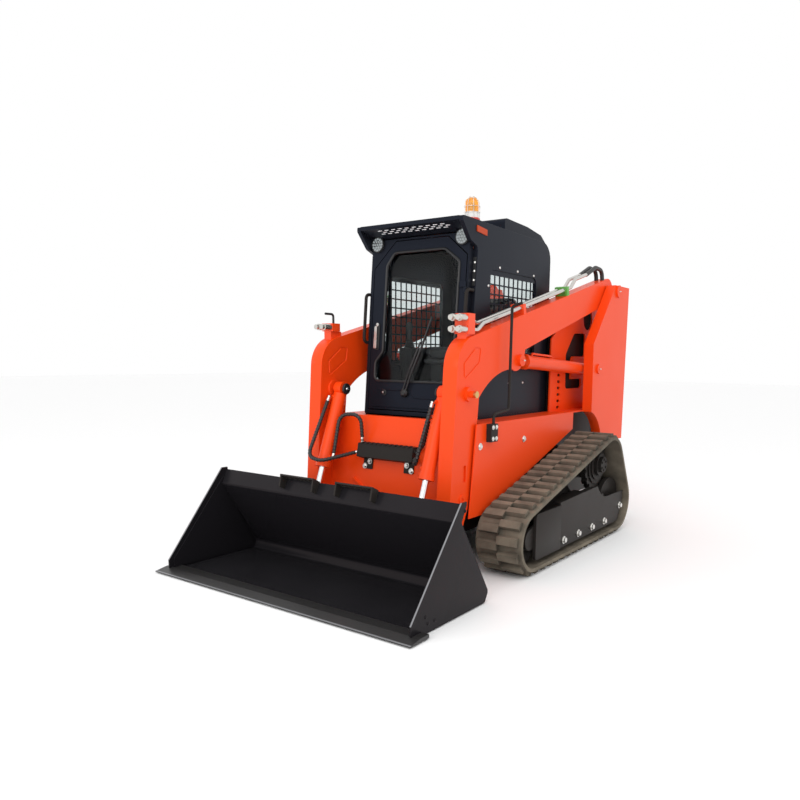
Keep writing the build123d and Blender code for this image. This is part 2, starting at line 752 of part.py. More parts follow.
def make_tower_inner():
    """Inner tower plate with its windows and its column of slots."""
    face = yz_face(
        [
            (INNER_FRONT_Y, TUB_TOP_Z),
            (TUB_REAR_Y, TUB_TOP_Z),
            (TUB_REAR_Y, TOWER_TOP_Z - INNER_BACK[1]),
            (TUB_REAR_Y - INNER_BACK[0], TOWER_TOP_Z + INNER_RISE),
            (BOOM_PIVOT_Y - INNER_SHOULDER, TOWER_TOP_Z + INNER_RISE),
            (INNER_FRONT_Y, INNER_TOP_FRONT_Z),
        ]
    )
    y0, y1, z0, z1 = INNER_POCKET
    pocket = Pos((y0 + y1) / 2, (z0 + z1) / 2) * RectangleRounded(y1 - y0, z1 - z0, INNER_WINDOW_R)
    face = face - yz_face(INNER_WINDOW, radius=INNER_WINDOW_R) - pocket
    face -= Pos(*INNER_UPPER) * Circle(INNER_UPPER_R)
    for k in range(VENT_COUNT):
        face -= Pos(VENT_Y, VENT_LOW_Z + VENT_PITCH * k) * RectangleRounded(*VENT_SIZE, VENT_R)
    plate = along_x(face, INNER_PLATE_X - TOWER_PLATE, INNER_PLATE_X)
    for y, z, r in ((BOOM_PIVOT_Y, BOOM_PIVOT_Z, BOOM_PIN_R), (LIFT_BASE_Y, LIFT_BASE_Z, LIFT_PIN_R)):
        plate -= rod_x(y, z, r + FIT, INNER_PLATE_X - TOWER_PLATE, INNER_PLATE_X)
    return plate


def make_tower_pins():
    """Boom pivot pin and lift cylinder base pin with a head outside."""
    pins = []
    for y, z, r in ((BOOM_PIVOT_Y, BOOM_PIVOT_Z, BOOM_PIN_R), (LIFT_BASE_Y, LIFT_BASE_Z, LIFT_PIN_R)):
        shaft = rod_x(y, z, r, INNER_PLATE_X - TOWER_PLATE, TOWER_X)
        head = rod_x(y, z, r + PIN_HEAD, TOWER_X, TOWER_X + PIN_HEAD_THICK)
        pins.append(shaft + head)
    return pins


# Boom

def arm_face():
    """Side outline of one arm: straight beam, round knee, arched underside and leg."""
    knee = FilletPolyline(
        (BOOM_PIVOT_Y - ARM_TAIL_BACK, BOOM_PIVOT_Z + ARM_TAIL_R),
        (KNEE_Y, KNEE_Z),
        LEG_BOW,
        (BUCKET_PIVOT_Y - ARM_END_R, BUCKET_PIVOT_Z + LEG_TOE),
        radius=(KNEE_R, LEG_BOW_R),
    )
    sole = ThreePointArc(
        knee @ 1,
        (BUCKET_PIVOT_Y, BUCKET_PIVOT_Z - ARM_END_R),
        (BUCKET_PIVOT_Y + ARM_END_R, BUCKET_PIVOT_Z),
    )
    leg = Polyline(sole @ 1, LEG_HEEL, LEG_BACK, ARCH_START)
    eye = [(LIFT_EYE_Y + dy, LIFT_EYE_Z + dz) for dy, dz in LIFT_LUG]
    arch = ThreePointArc(leg @ 1, ARCH_MIDDLE, eye[0])
    lug = ThreePointArc(*eye[:3])
    belly = Polyline(
        eye[2],
        eye[3],
        (BOOM_PIVOT_Y - BELLY_BACK[0], BOOM_PIVOT_Z - BELLY_BACK[1]),
        (BOOM_PIVOT_Y + BELLY_END, BOOM_PIVOT_Z - ARM_TAIL_R),
    )
    tail = ThreePointArc(belly @ 1, (BOOM_PIVOT_Y + ARM_TAIL_R, BOOM_PIVOT_Z), knee @ 0)
    return make_face(Curve() + [knee, sole, leg, arch, lug, belly, tail])


def make_arm():
    """Box arm, slotted round the lift cylinder's eye, with pressings, a tilt boss and its bores."""
    arm = along_x(arm_face(), ARM_IN_X, ARM_OUT_X)
    arm -= block(
        ARM_MID_X - EYE_WIDTH / 2 - RUN,
        ARM_MID_X + EYE_WIDTH / 2 + RUN,
        LIFT_EYE_Y - EYE_SLOT[0],
        LIFT_EYE_Y + EYE_SLOT[1],
        LIFT_EYE_Z - EYE_SLOT[2],
        LIFT_EYE_Z + LIFT_PIN_R + EYE_WALL + 2 * RUN,
    )
    line = yz_face(PRESSING, radius=PRESSING_R)
    line -= offset(line, -PRESSING_LINE)
    arm -= along_x(line, ARM_IN_X, ARM_IN_X + PRESSING_DEPTH)
    arm -= along_x(line, ARM_OUT_X - PRESSING_DEPTH, ARM_OUT_X)
    slot = Pos(*LEG_SLOT) * Rectangle(*LEG_SLOT_SIZE)
    arm -= along_x(slot, ARM_OUT_X - LEG_SLOT_DEPTH, ARM_OUT_X)
    ring = Pos(*LEG_RING) * (Circle(LEG_RING_R) - Circle(LEG_RING_BORE))
    arm += along_x(ring, ARM_OUT_X, ARM_OUT_X + LEG_RING_HEIGHT)
    boss_x = TILT_X + TILT_BARREL_R + GLAND_RISE + RUN
    arm += rod_x(TILT_TOP_Y, TILT_TOP_Z, TILT_BOSS_R, boss_x, ARM_IN_X)
    arm -= rod_x(BOOM_PIVOT_Y, BOOM_PIVOT_Z, BOOM_PIN_R + FIT, ARM_IN_X, ARM_OUT_X)
    arm -= rod_x(BUCKET_PIVOT_Y, BUCKET_PIVOT_Z, BUCKET_PIN_R + FIT, ARM_IN_X, ARM_OUT_X)
    return arm - rod_x(TILT_TOP_Y, TILT_TOP_Z, TILT_PIN_R + FIT, boss_x, ARM_OUT_X)


def make_lift_boss():
    """Boss on the arm's outer face, over the lift rod's eye."""
    return rod_x(LIFT_EYE_Y, LIFT_EYE_Z, LIFT_BOSS_R, ARM_OUT_X, ARM_OUT_X + LIFT_BOSS)


def make_tilt_pin():
    """Tilt cylinder's upper pin through the arm, with a collar outside."""
    pin = (TILT_TOP_Y, TILT_TOP_Z)
    shaft = rod_x(*pin, TILT_PIN_R, TILT_X - EYE_WIDTH / 2 - TILT_CAP, ARM_OUT_X + TILT_STUB)
    return shaft + rod_x(*pin, TILT_COLLAR_R, ARM_OUT_X + FIT, ARM_OUT_X + TILT_COLLAR)


def make_crossmember():
    """Cross plate between the legs, leaning with them, with a slanting rib low on its face."""
    low_y = cross_y(CROSS_LOW_Z)
    face = yz_face(
        [
            (CROSS_TOP_Y, CROSS_TOP_Z),
            (CROSS_TOP_Y + CROSS_THICK, CROSS_TOP_Z),
            (low_y + CROSS_THICK, CROSS_LOW_Z),
            (low_y, CROSS_LOW_Z),
        ]
    )
    rib = Pos(FIN_X, cross_y(FIN_Z), FIN_Z) * Rot(0, FIN_TURN, 0) * Box(*FIN_SIZE)
    return along_x(face, -ARM_IN_X, ARM_IN_X) + rib


def cross_y(z):
    """Front face of the cross plate at a height."""
    return CROSS_TOP_Y - CROSS_LEAN * (CROSS_TOP_Z - z)


def make_step_cover():
    """Cover over the hose ends that also serves as a step: toothed tread on two feet."""
    low = STEP_TOP_Z - STEP_HEIGHT
    face = yz_face(
        [
            (cross_y(STEP_TOP_Z), STEP_TOP_Z),
            (cross_y(low), low),
            (cross_y(low) - STEP_DEPTH, low + STEP_BELLY),
            (cross_y(STEP_TOP_Z) - STEP_DEPTH, STEP_TOP_Z),
        ]
    )
    cover = along_x(face, -STEP_WIDTH / 2, STEP_WIDTH / 2)
    pitch = STEP_WIDTH / (STEP_TEETH + 1)
    front = cross_y(STEP_TOP_Z) - STEP_DEPTH
    for k in range(1, STEP_TEETH + 1):
        x = -STEP_WIDTH / 2 + pitch * k
        half = STEP_NOTCH[0] / 2
        floor = STEP_TOP_Z - STEP_NOTCH[1]
        cover -= block(x - half, x + half, front, front + STEP_DEPTH / 2, floor, STEP_TOP_Z)
    foot_top = low + STEP_FOOT_LAP
    foot_low = low - STEP_FOOT
    foot = yz_face(
        [
            (cross_y(foot_top), foot_top),
            (cross_y(foot_low), foot_low),
            (cross_y(foot_low) - STEP_FOOT_THICK, foot_low),
            (cross_y(foot_top) - STEP_FOOT_THICK, foot_top),
        ]
    )
    inner = STEP_WIDTH / 2 - STEP_FOOT_INSET
    cover += along_x(foot, -inner, STEP_FOOT_WIDTH - inner)
    return cover + along_x(foot, inner - STEP_FOOT_WIDTH, inner)


def cylinder_line(base, eye):
    """Unit run from base pin to rod eye and the length between them, in (y, z)."""
    dy = eye[0] - base[0]
    dz = eye[1] - base[1]
    length = math.hypot(dy, dz)
    return (dy / length, dz / length), length


def shaft_yz(x, start, run, near, far, radius):
    """Round bar in the plane of one X, between two distances along a run."""
    origin = (x, start[0] + run[0] * near, start[1] + run[1] * near)
    section = Plane(origin=origin, z_dir=(0, run[0], run[1])) * Circle(radius)
    return extrude(section, far - near, dir=(0, run[0], run[1]))


def make_barrel(x, base, eye, radius, pin_r, shown, rod_r):
    """Cylinder barrel with an eye round its base pin, ending short of the rod's eye."""
    run, span = cylinder_line(base, eye)
    length = span - shown
    reach = pin_r + EYE_WALL
    barrel = shaft_yz(x, base, run, reach - EYE_OVERLAP, length, radius)
    barrel += rod_x(base[0], base[1], reach, x - EYE_WIDTH / 2, x + EYE_WIDTH / 2)
    barrel += shaft_yz(x, base, run, length - GLAND_LENGTH, length, radius + GLAND_RISE)
    barrel -= rod_x(base[0], base[1], pin_r + FIT, x - EYE_WIDTH, x + EYE_WIDTH)
    return barrel - shaft_yz(x, base, run, reach + GLAND_LENGTH, length + RUN, rod_r + FIT)


def port(x, base, eye, along, radius, turn):
    """Short hose port on a barrel, turned round it from straight ahead."""
    run, _ = cylinder_line(base, eye)
    angle = math.radians(turn)
    out = (math.sin(angle), run[1] * math.cos(angle), -run[0] * math.cos(angle))
    middle = (x, base[0] + run[0] * along, base[1] + run[1] * along)
    root = Vector(*middle) + Vector(*out) * (radius / 2)
    stub = Plane(origin=root, z_dir=out) * Circle(PORT_R)
    return extrude(stub, radius / 2 + PORT_RISE, dir=out)


def make_tilt_barrel(side):
    """Tilt barrel of one side with its three hose ports."""
    x = side * TILT_X
    barrel = make_barrel(x, *TILT, TILT_BARREL_R, TILT_PIN_R, TILT_ROD_SHOWN, TILT_ROD_R)
    run, _ = cylinder_line(*TILT)
    ports = port(x, *TILT, PORT_UPPER, TILT_BARREL_R, -PORT_TURN)
    ports += port(x, *TILT, PORT_LOWER, TILT_BARREL_R, -90 * side)
    if side > 0:
        ports += port(x, *TILT, PORT_MIDDLE, TILT_BARREL_R, -90)
    return barrel + (ports - shaft_yz(x, TILT[0], run, 0, PORT_LOWER + GLAND_LENGTH, TILT_ROD_R + FIT))


def make_lift_barrel():
    """Lift barrel with the oil line that runs along its top."""
    barrel = make_barrel(ARM_MID_X, *LIFT, LIFT_BARREL_R, LIFT_PIN_R, LIFT_ROD_SHOWN, LIFT_ROD_R)
    run, span = cylinder_line(*LIFT)
    near = LIFT_LINE_ENDS[1]
    far = span - LIFT_ROD_SHOWN - LIFT_LINE_ENDS[0]
    sunk = LIFT_ROD_R + EYE_WALL / 2
    points = []
    for along, rise in ((near, sunk), (near, LIFT_LINE_RISE), (far, LIFT_LINE_RISE), (far, sunk)):
        y = LIFT_BASE_Y + run[0] * along + run[1] * rise
        z = LIFT_BASE_Z + run[1] * along - run[0] * rise
        points.append((ARM_MID_X, y, z))
    return barrel + tube(points, LIFT_LINE_R, 1.5 * LIFT_LINE_R)


def make_rod(x, base, eye, radius, pin_r, near):
    """Cylinder rod that starts inside the barrel and ends in an eye."""
    run, length = cylinder_line(base, eye)
    reach = pin_r + EYE_WALL
    rod = shaft_yz(x, base, run, near, length - reach + EYE_OVERLAP, radius)
    rod += rod_x(eye[0], eye[1], reach, x - EYE_WIDTH / 2, x + EYE_WIDTH / 2)
    return rod - rod_x(eye[0], eye[1], pin_r + FIT, x - EYE_WIDTH, x + EYE_WIDTH)


LIFT = ((LIFT_BASE_Y, LIFT_BASE_Z), (LIFT_EYE_Y, LIFT_EYE_Z))
TILT = ((TILT_TOP_Y, TILT_TOP_Z), (TILT_EYE_Y, TILT_EYE_Z))


# Bucket

BACK_RUN = (BUCKET_LIP_Y - BUCKET_HEEL_Y, BUCKET_LIP_Z - BUCKET_CLEAR)


def shell_path():
    """Outer line of the bucket's sheet: floor, flat heel strip, back and lip."""
    return FilletPolyline(
        (EDGE_FRONT_Y + EDGE_LENGTH, BUCKET_CLEAR),
        (BUCKET_HEEL_Y - HEEL_CUT, BUCKET_CLEAR),
        back_point(HEEL_CUT, 0),
        (BUCKET_LIP_Y, BUCKET_LIP_Z),
        (BUCKET_TOP_Y, BUCKET_TOP_Z),
        radius=(HEEL_R, HEEL_R, BUCKET_LIP_R),
    )


def make_bucket_shell():
    """Floor, heel, back and lip as one bent sheet between two side plates, each lined inside."""
    half = BUCKET_WIDTH / 2
    path = shell_path()
    sheet = make_face(offset(path, BUCKET_SHEET, side=Side.LEFT, closed=True))
    shell = along_x(sheet, -half + BUCKET_SHEET, half - BUCKET_SHEET)
    front = EDGE_FRONT_Y + EDGE_LENGTH
    floor = BUCKET_CLEAR + EDGE_THICK
    rim = Polyline(
        path @ 1,
        (BUCKET_TOP_Y, BUCKET_TOP_Z + CHEEK_CORNER),
        (BUCKET_LIP_Y, BUCKET_TOP_Z + CHEEK_CORNER),
        (front - CHEEK_SETBACK, BUCKET_CLEAR + CHEEK_NOSE),
        (front - CHEEK_SETBACK, floor),
        (front, floor),
        path @ 0,
    )
    cheek = make_face(Curve() + [path, rim])
    for x in (-half, half - BUCKET_SHEET):
        shell += along_x(cheek, x, x + BUCKET_SHEET)
    liner = Polyline(
        (front + LINER_SETBACK, floor),
        (front - CHEEK_SETBACK + LINER_SETBACK, floor),
        (front - CHEEK_SETBACK + LINER_SETBACK, BUCKET_CLEAR + CHEEK_NOSE),
        (BUCKET_LIP_Y + BUCKET_SHEET, BUCKET_TOP_Z - LINER_SETBACK),
        (BUCKET_LIP_Y + BUCKET_SHEET, BUCKET_LIP_Z),
        (BUCKET_HEEL_Y - HEEL_CUT, floor),
        close=True,
    )
    inner = half - BUCKET_SHEET - LINER_THICK
    for x in (-half + BUCKET_SHEET, inner):
        shell += along_x(make_face(liner), x, x + LINER_THICK)
    return shell


def make_cutting_edge():
    """Bevelled cutting edge, wider than the bucket."""
    rear = EDGE_FRONT_Y + EDGE_LENGTH
    top = BUCKET_CLEAR + EDGE_THICK
    face = yz_face(
        [
            (EDGE_FRONT_Y, BUCKET_CLEAR),
            (rear, BUCKET_CLEAR),
            (rear, top),
            (EDGE_FRONT_Y + EDGE_BEVEL, top),
            (EDGE_FRONT_Y, BUCKET_CLEAR + EDGE_NOSE),
        ]
    )
    return along_x(face, -EDGE_WIDTH / 2, EDGE_WIDTH / 2)


def back_point(along, out):
    """Point on the bucket's back: distance up the slope and out behind it."""
    run = math.hypot(*BACK_RUN)
    dy = BACK_RUN[0] / run
    dz = BACK_RUN[1] / run
    return (BUCKET_HEEL_Y + dy * along + dz * out, BUCKET_CLEAR + dz * along - dy * out)


def make_coupler():
    """Attachment plate behind the bucket with ears for the arms and the tilt rods."""
    top = COUPLER_LOW + COUPLER_HEIGHT
    face = yz_face(
        [
            back_point(COUPLER_LOW, 0),
            back_point(top, 0),
            back_point(top, COUPLER_PLATE),
            back_point(COUPLER_LOW, COUPLER_PLATE),
        ]
    )
    coupler = along_x(face, -COUPLER_HALF, COUPLER_HALF)
    pivot = (BUCKET_PIVOT_Y, BUCKET_PIVOT_Z)
    root = COUPLER_PLATE - EAR_SINK
    arm_ear = yz_face([back_point(COUPLER_LOW, root), back_point(COUPLER_LOW + ARM_EAR_FOOT, root), pivot])
    arm_ear += Pos(*pivot) * Circle(BUCKET_PIN_R + ARM_EAR_WALL)
    tilt = (TILT_EYE_Y, TILT_EYE_Z)
    tilt_ear = yz_face([back_point(TILT_EAR_FOOT[0], root), back_point(TILT_EAR_FOOT[1], root), tilt])
    tilt_ear += Pos(*tilt) * Circle(TILT_PIN_R + TILT_EAR_WALL)
    for x in (ARM_IN_X - RUN - EAR_THICK, ARM_OUT_X + RUN):
        ear = along_x(arm_ear, x, x + EAR_THICK) - rod_x(*pivot, BUCKET_PIN_R + FIT, x, x + EAR_THICK)
        coupler = coupler + ear + mirror(ear, Plane.YZ)
    for x in (TILT_X - EYE_WIDTH / 2 - RUN - EAR_THICK, TILT_X + EYE_WIDTH / 2 + RUN):
        ear = along_x(tilt_ear, x, x + EAR_THICK)
        coupler = coupler + ear + mirror(ear, Plane.YZ)
    return coupler


def make_bucket_pin():
    """Pin through an arm's end and the ears beside it."""
    x0 = ARM_IN_X - RUN - EAR_THICK
    x1 = ARM_OUT_X + RUN + EAR_THICK
    return rod_x(BUCKET_PIVOT_Y, BUCKET_PIVOT_Z, BUCKET_PIN_R, x0, x1)


def lip_point(down, out):
    """Point on the bucket's lip: distance down from its top edge and out in front."""
    dy = BUCKET_LIP_Y - BUCKET_TOP_Y
    dz = BUCKET_LIP_Z - BUCKET_TOP_Z
    run = math.hypot(dy, dz)
    return (BUCKET_TOP_Y + (dy * down + dz * out) / run, BUCKET_TOP_Z + (dz * down - dy * out) / run)


def make_bucket_step(x):
    """Step bracket on the bucket's lip: slotted tread on two legs."""
    near = BUCKET_SHEET + FIT
    far = near + LADDER_DEPTH
    leg = yz_face(
        [
            lip_point(-LADDER_RISE, near),
            lip_point(LADDER_DROP, near),
            lip_point(LADDER_DROP, near + LADDER_TOE),
            lip_point(-LADDER_RISE, far),
        ]
    )
    tread = yz_face(
        [
            lip_point(-LADDER_RISE, near),
            lip_point(LADDER_TREAD - LADDER_RISE, near),
            lip_point(LADDER_TREAD - LADDER_RISE, far),
            lip_point(-LADDER_RISE, far),
        ]
    )
    width, reach = LADDER_SLOT
    slot = yz_face(
        [
            lip_point(-LADDER_TREAD, near + LADDER_TREAD),
            lip_point(LADDER_TREAD, near + LADDER_TREAD),
            lip_point(LADDER_TREAD, near + LADDER_TREAD + reach),
            lip_point(-LADDER_TREAD, near + LADDER_TREAD + reach),
        ]
    )
    step = along_x(tread, x - LADDER_HALF, x + LADDER_HALF)
    pitch = 2 * LADDER_HALF / (LADDER_SLOTS + 1)
    for k in range(1, LADDER_SLOTS + 1):
        middle = x - LADDER_HALF + pitch * k
        step -= along_x(slot, middle - width / 2, middle + width / 2)
    step += along_x(leg, x - LADDER_HALF, x - LADDER_HALF + LADDER_PLATE)
    return step + along_x(leg, x + LADDER_HALF - LADDER_PLATE, x + LADDER_HALF)


# Cab

def side_front(z):
    """Front edge of a cab side at a height."""
    return CAB_FRONT_Y + SIDE_SETBACK + math.tan(math.radians(CAB_LEAN)) * (z - CAB_FLOOR_Z)


def side_face():
    """Outline of one cab side: visor tip, notch for the lamp, leaning front and round rear."""
    back, notch, tip, down = VISOR_CHEEK
    return yz_face(
        [
            (side_front(CAB_FLOOR_Z), CAB_FLOOR_Z),
            (side_front(VISOR_LOW_Z - down), VISOR_LOW_Z - down),
            (VISOR_FRONT_Y + back, VISOR_LOW_Z - notch),
            (VISOR_FRONT_Y, ROOF_Z - tip),
            (VISOR_FRONT_Y, ROOF_Z),
            (CAB_REAR_Y, ROOF_Z - ROOF_FALL),
            (CAB_REAR_Y, CAB_FLOOR_Z),
        ],
        radius=SIDE_RADII,
    )


def window_face(grow):
    """Side window, grown or shrunk all round."""
    y = (WINDOW_FRONT_Y + WINDOW_REAR_Y) / 2
    z = (WINDOW_LOW_Z + WINDOW_TOP_Z) / 2
    width = WINDOW_REAR_Y - WINDOW_FRONT_Y + 2 * grow
    height = WINDOW_TOP_Z - WINDOW_LOW_Z + 2 * grow
    return Pos(y, z) * RectangleRounded(width, height, WINDOW_R + grow)


def make_cab_side():
    """Side wall with its window cut."""
    return along_x(side_face() - window_face(0), CAB_HALF - CAB_WALL, CAB_HALF)


def make_window_guard():
    """Square mesh guard in the side window."""
    face = window_face(-FIT)
    across = int((WINDOW_REAR_Y - WINDOW_FRONT_Y - GUARD_BAR) / GUARD_PITCH)
    up = int((WINDOW_TOP_Z - WINDOW_LOW_Z - GUARD_BAR) / GUARD_PITCH)
    hole = GUARD_PITCH - GUARD_BAR
    y = (WINDOW_FRONT_Y + WINDOW_REAR_Y) / 2
    z = (WINDOW_LOW_Z + WINDOW_TOP_Z) / 2
    holes = Pos(y, z) * GridLocations(GUARD_PITCH, GUARD_PITCH, across, up) * Rectangle(hole, hole)
    outside = CAB_HALF - GUARD_SETBACK
    return along_x(face - holes, outside - GLASS_THICK, outside)


def make_side_glass():
    """Pane inside the guard."""
    return along_x(window_face(-FIT), CAB_HALF - CAB_WALL, CAB_HALF - CAB_WALL + GLASS_THICK)


def visor_line():
    """Front and rear end of the visor's lower face, in (y, z)."""
    return (VISOR_FRONT_Y, ROOF_Z - VISOR_LIP), (CAB_FRONT_Y + VISOR_BACK, VISOR_LOW_Z)


def visor_plane(x, share):
    """Plane on the visor's lower face, at a share of its depth, looking out and down."""
    top, low = visor_line()
    run = math.dist(top, low)
    y = top[0] + share * (low[0] - top[0])
    z = top[1] + share * (low[1] - top[1])
    normal = (0, (low[1] - top[1]) / run, -(low[0] - top[0]) / run)
    return Plane(origin=(x, y, z), x_dir=(1, 0, 0), z_dir=normal)


def make_roof():
    """Roof panel between the sides, slotted visor sheet above the door, and the raised rear hatch."""
    half = CAB_HALF - CAB_WALL
    top, low = visor_line()
    rear = CAB_REAR_Y - ROOF_REAR_GAP
    low_back = low[0] + CAB_WALL
    panel = yz_face(
        [
            (low_back, ROOF_Z - FIT),
            (rear, ROOF_Z - ROOF_FALL),
            (rear, ROOF_Z - ROOF_FALL - ROOF_THICK),
            (low_back, ROOF_Z - ROOF_FALL - ROOF_THICK),
            (low_back, VISOR_LOW_Z),
            low,
            (low[0], ROOF_Z - FIT),
        ]
    )
    sheet = yz_face(
        [
            (VISOR_FRONT_Y, ROOF_Z),
            (VISOR_FRONT_Y + VISOR_SHEET, ROOF_Z),
            (VISOR_FRONT_Y + VISOR_SHEET, top[1] + VISOR_SHEET / 2),
            (low[0] + VISOR_SHEET / 2, VISOR_LOW_Z + VISOR_SHEET),
            low,
            top,
        ]
    )
    roof = along_x(panel, -half, half) + along_x(sheet, -half, half)
    for row in range(VISOR_ROWS):
        shift = VISOR_SLOT_PITCH * (row % 2) / 2
        share = (VISOR_SLOT_ROW * (row + 1.5)) / math.dist(top, low)
        slots = Sketch() + GridLocations(VISOR_SLOT_PITCH, 1, VISOR_SLOTS, 1) * Rectangle(*VISOR_SLOT)
        roof -= extrude(visor_plane(shift, share).offset(VISOR_SHEET) * slots, -3 * VISOR_SHEET)
    for side in (-1, 1):
        roof -= lamp_disc(side, LAMP_R + LAMP_RIM + RUN, 0, 3 * LAMP_DEPTH)
    crown = [(y, ROOF_Z + rise) for y, rise in HATCH_LINE]
    base = ROOF_Z - ROOF_FALL - ROOF_THICK / 2
    hatch = yz_face([(crown[0][0], base), *crown, (rear, base)])
    cap = along_x(hatch, -HATCH_HALF, HATCH_HALF)
    return roof + fillet(cap.edges().filter_by(Axis.Y, reverse=True).group_by(Axis.Z)[-1], HATCH_R)


def make_cab_front():
    """Front frame round the door opening, in the leaning plane."""
    half = CAB_HALF - CAB_WALL
    top = DOOR_TOP + DOOR_RIM
    outer = Pos(0, top / 2) * Rectangle(2 * half, top)
    opening = offset(make_face(door_outline()), DOOR_GAP, kind=Kind.INTERSECTION)
    return extrude(FRONT_PLANE * (outer - opening), -DOOR_THICK - DOOR_REBATE, dir=FRONT_PLANE.z_dir)


def door_outline():
    """Door with chamfered top corners, in the leaning plane."""
    (hinge_in, hinge_drop), (latch_in, latch_drop) = DOOR_CHAMFER
    return Polyline(
        (DOOR_RIGHT_X, DOOR_LOW),
        (DOOR_LEFT_X, DOOR_LOW),
        (DOOR_LEFT_X, DOOR_TOP - hinge_drop),
        (DOOR_LEFT_X - hinge_in, DOOR_TOP),
        (DOOR_RIGHT_X + latch_in, DOOR_TOP),
        (DOOR_RIGHT_X, DOOR_TOP - latch_drop),
        close=True,
    )


def door_glass_line():
    """Glass edge with the jog beside the handle."""
    latch, hinge, head = PANE_RIM
    drop, inset = PANE_CHAMFER
    return FilletPolyline(
        (DOOR_RIGHT_X + latch, PANE_LOW),
        (DOOR_LEFT_X - hinge, PANE_LOW),
        (DOOR_LEFT_X - hinge, DOOR_TOP - drop),
        (DOOR_LEFT_X - inset, DOOR_TOP - head),
        (DOOR_RIGHT_X + inset, DOOR_TOP - head),
        (DOOR_RIGHT_X + PANE_JOG, DOOR_TOP - drop),
        (DOOR_RIGHT_X + PANE_JOG, PANE_JOG_Z[0]),
        (DOOR_RIGHT_X + latch, PANE_JOG_Z[1]),
        radius=PANE_R,
        close=True,
    )


def make_door():
    """Door frame with its glass opening cut and a lug at each hinge."""
    face = make_face(door_outline()) - make_face(door_glass_line())
    door = extrude(FRONT_PLANE * face, -DOOR_THICK, dir=FRONT_PLANE.z_dir)
    for height in DOOR_HINGES:
        door += door_knuckle(height, DOOR_LEFT_X - HINGE_LEAF)
    return door


def door_knuckle(height, leaf_x):
    """Half hinge in the leaning plane: a leaf from one X to the pin, and the knuckle round it."""
    pin_x = DOOR_LEFT_X + HINGE_OFFSET
    plane = Plane(
        origin=FRONT_PLANE.from_local_coords((pin_x, height, HINGE_R + FIT)),
        x_dir=(1, 0, 0),
        z_dir=FRONT_PLANE.y_dir,
    )
    knuckle = extrude(plane * Circle(HINGE_R), HINGE_HEIGHT, dir=plane.z_dir)
    low, high = sorted((leaf_x, pin_x))
    leaf = Pos((low + high) / 2, height + HINGE_HEIGHT / 2) * Rectangle(high - low, HINGE_HEIGHT)
    return knuckle + extrude(FRONT_PLANE * leaf, 2 * HINGE_R, dir=FRONT_PLANE.z_dir)


def make_door_hinges():
    """Fixed half of each cab door hinge, just below the door's lugs."""
    return [door_knuckle(height - HINGE_HEIGHT - FIT, CAB_HALF - CAB_WALL) for height in DOOR_HINGES]


def make_door_glass():
    """Door pane held in the frame."""
    pane = offset(make_face(door_glass_line()), -FIT)
    face = FRONT_PLANE.offset(-DOOR_THICK / 2) * pane
    return extrude(face, -GLASS_THICK, dir=FRONT_PLANE.z_dir)


def make_door_handle():
    """Pull handle on the door's free side."""
    width, height, depth = HANDLE_SIZE
    grip = Pos(DOOR_RIGHT_X + HANDLE_X, HANDLE_Z) * RectangleRounded(width, height, HANDLE_R)
    return extrude(FRONT_PLANE * grip, depth, dir=FRONT_PLANE.z_dir)


def make_cab_floor():
    """Cab floor on the tub."""
    half = CAB_HALF - CAB_WALL
    front = CAB_FRONT_Y + CAB_FLOOR_SETBACK
    return block(-half, half, front, CAB_REAR_Y, TUB_TOP_Z, CAB_FLOOR_Z + CAB_FLOOR)


def rear_pane(grow):
    """Half width, foot and head of the rear window, grown or shrunk all round."""
    half = CAB_HALF - CAB_WALL - REAR_PANE_RIM + grow
    return half, REAR_PANE_LOW_Z - grow, ROOF_Z - ROOF_FALL - ROOF_THICK - REAR_PANE_TOP + grow


def make_cab_rear():
    """Rear wall with its window cut."""
    half = CAB_HALF - CAB_WALL
    back = CAB_BACK_WALL_Y + CAB_WALL
    top = ROOF_Z - ROOF_FALL - ROOF_THICK
    wall = block(-half, half, CAB_BACK_WALL_Y, back, CAB_FLOOR_Z + CAB_FLOOR, top)
    pane, low, high = rear_pane(0)
    return wall - block(-pane, pane, CAB_BACK_WALL_Y, back, low, high)


def make_rear_glass():
    """Rear pane."""
    half, low, high = rear_pane(-FIT)
    y = CAB_BACK_WALL_Y + CAB_WALL / 2
    return block(-half, half, y, y + GLASS_THICK, low, high)


def make_seat():
    """Seat on its pedestal: cushion and back in one profile."""
    profile = [(SEAT_FRONT_Y, SEAT_PAN_Z), *SEAT_BACK, (SEAT_FRONT_Y, SEAT_TOP_Z)]
    seat = along_x(yz_face(profile, radius=SEAT_RADII), -SEAT_HALF, SEAT_HALF)
    near, far = SEAT_PEDESTAL
    base = CAB_FLOOR_Z + CAB_FLOOR
    return seat + block(-SEAT_PEDESTAL_HALF, SEAT_PEDESTAL_HALF, near, far, base, SEAT_PAN_Z)


def make_console(side):
    """Side console with a sloped front and a joystick."""
    x0, x1 = sorted((side * CONSOLE_X[0], side * CONSOLE_X[1]))
    front, rear = CONSOLE_Y
    base = CAB_FLOOR_Z + CAB_FLOOR
    profile = yz_face(
        [
            (front + CONSOLE_SLOPE, base),
            (rear, base),
            (rear, CONSOLE_TOP_Z),
            (front, CONSOLE_TOP_Z),
            (front, CONSOLE_TOP_Z - CONSOLE_SLOPE),
        ]
    )
    stick = Pos((x0 + x1) / 2, STICK_Y, CONSOLE_TOP_Z + STICK_HEIGHT / 2) * Cylinder(STICK_R, STICK_HEIGHT)
    return along_x(profile, x0, x1) + stick


def lamp_disc(side, radius, start, depth):
    """Disc round a lamp's axis, from a distance in front of the leaning plane."""
    face = FRONT_PLANE.offset(start) * (Pos(side * LAMP_X, LAMP_UP) * Circle(radius))
    return extrude(face, depth, dir=FRONT_PLANE.z_dir)


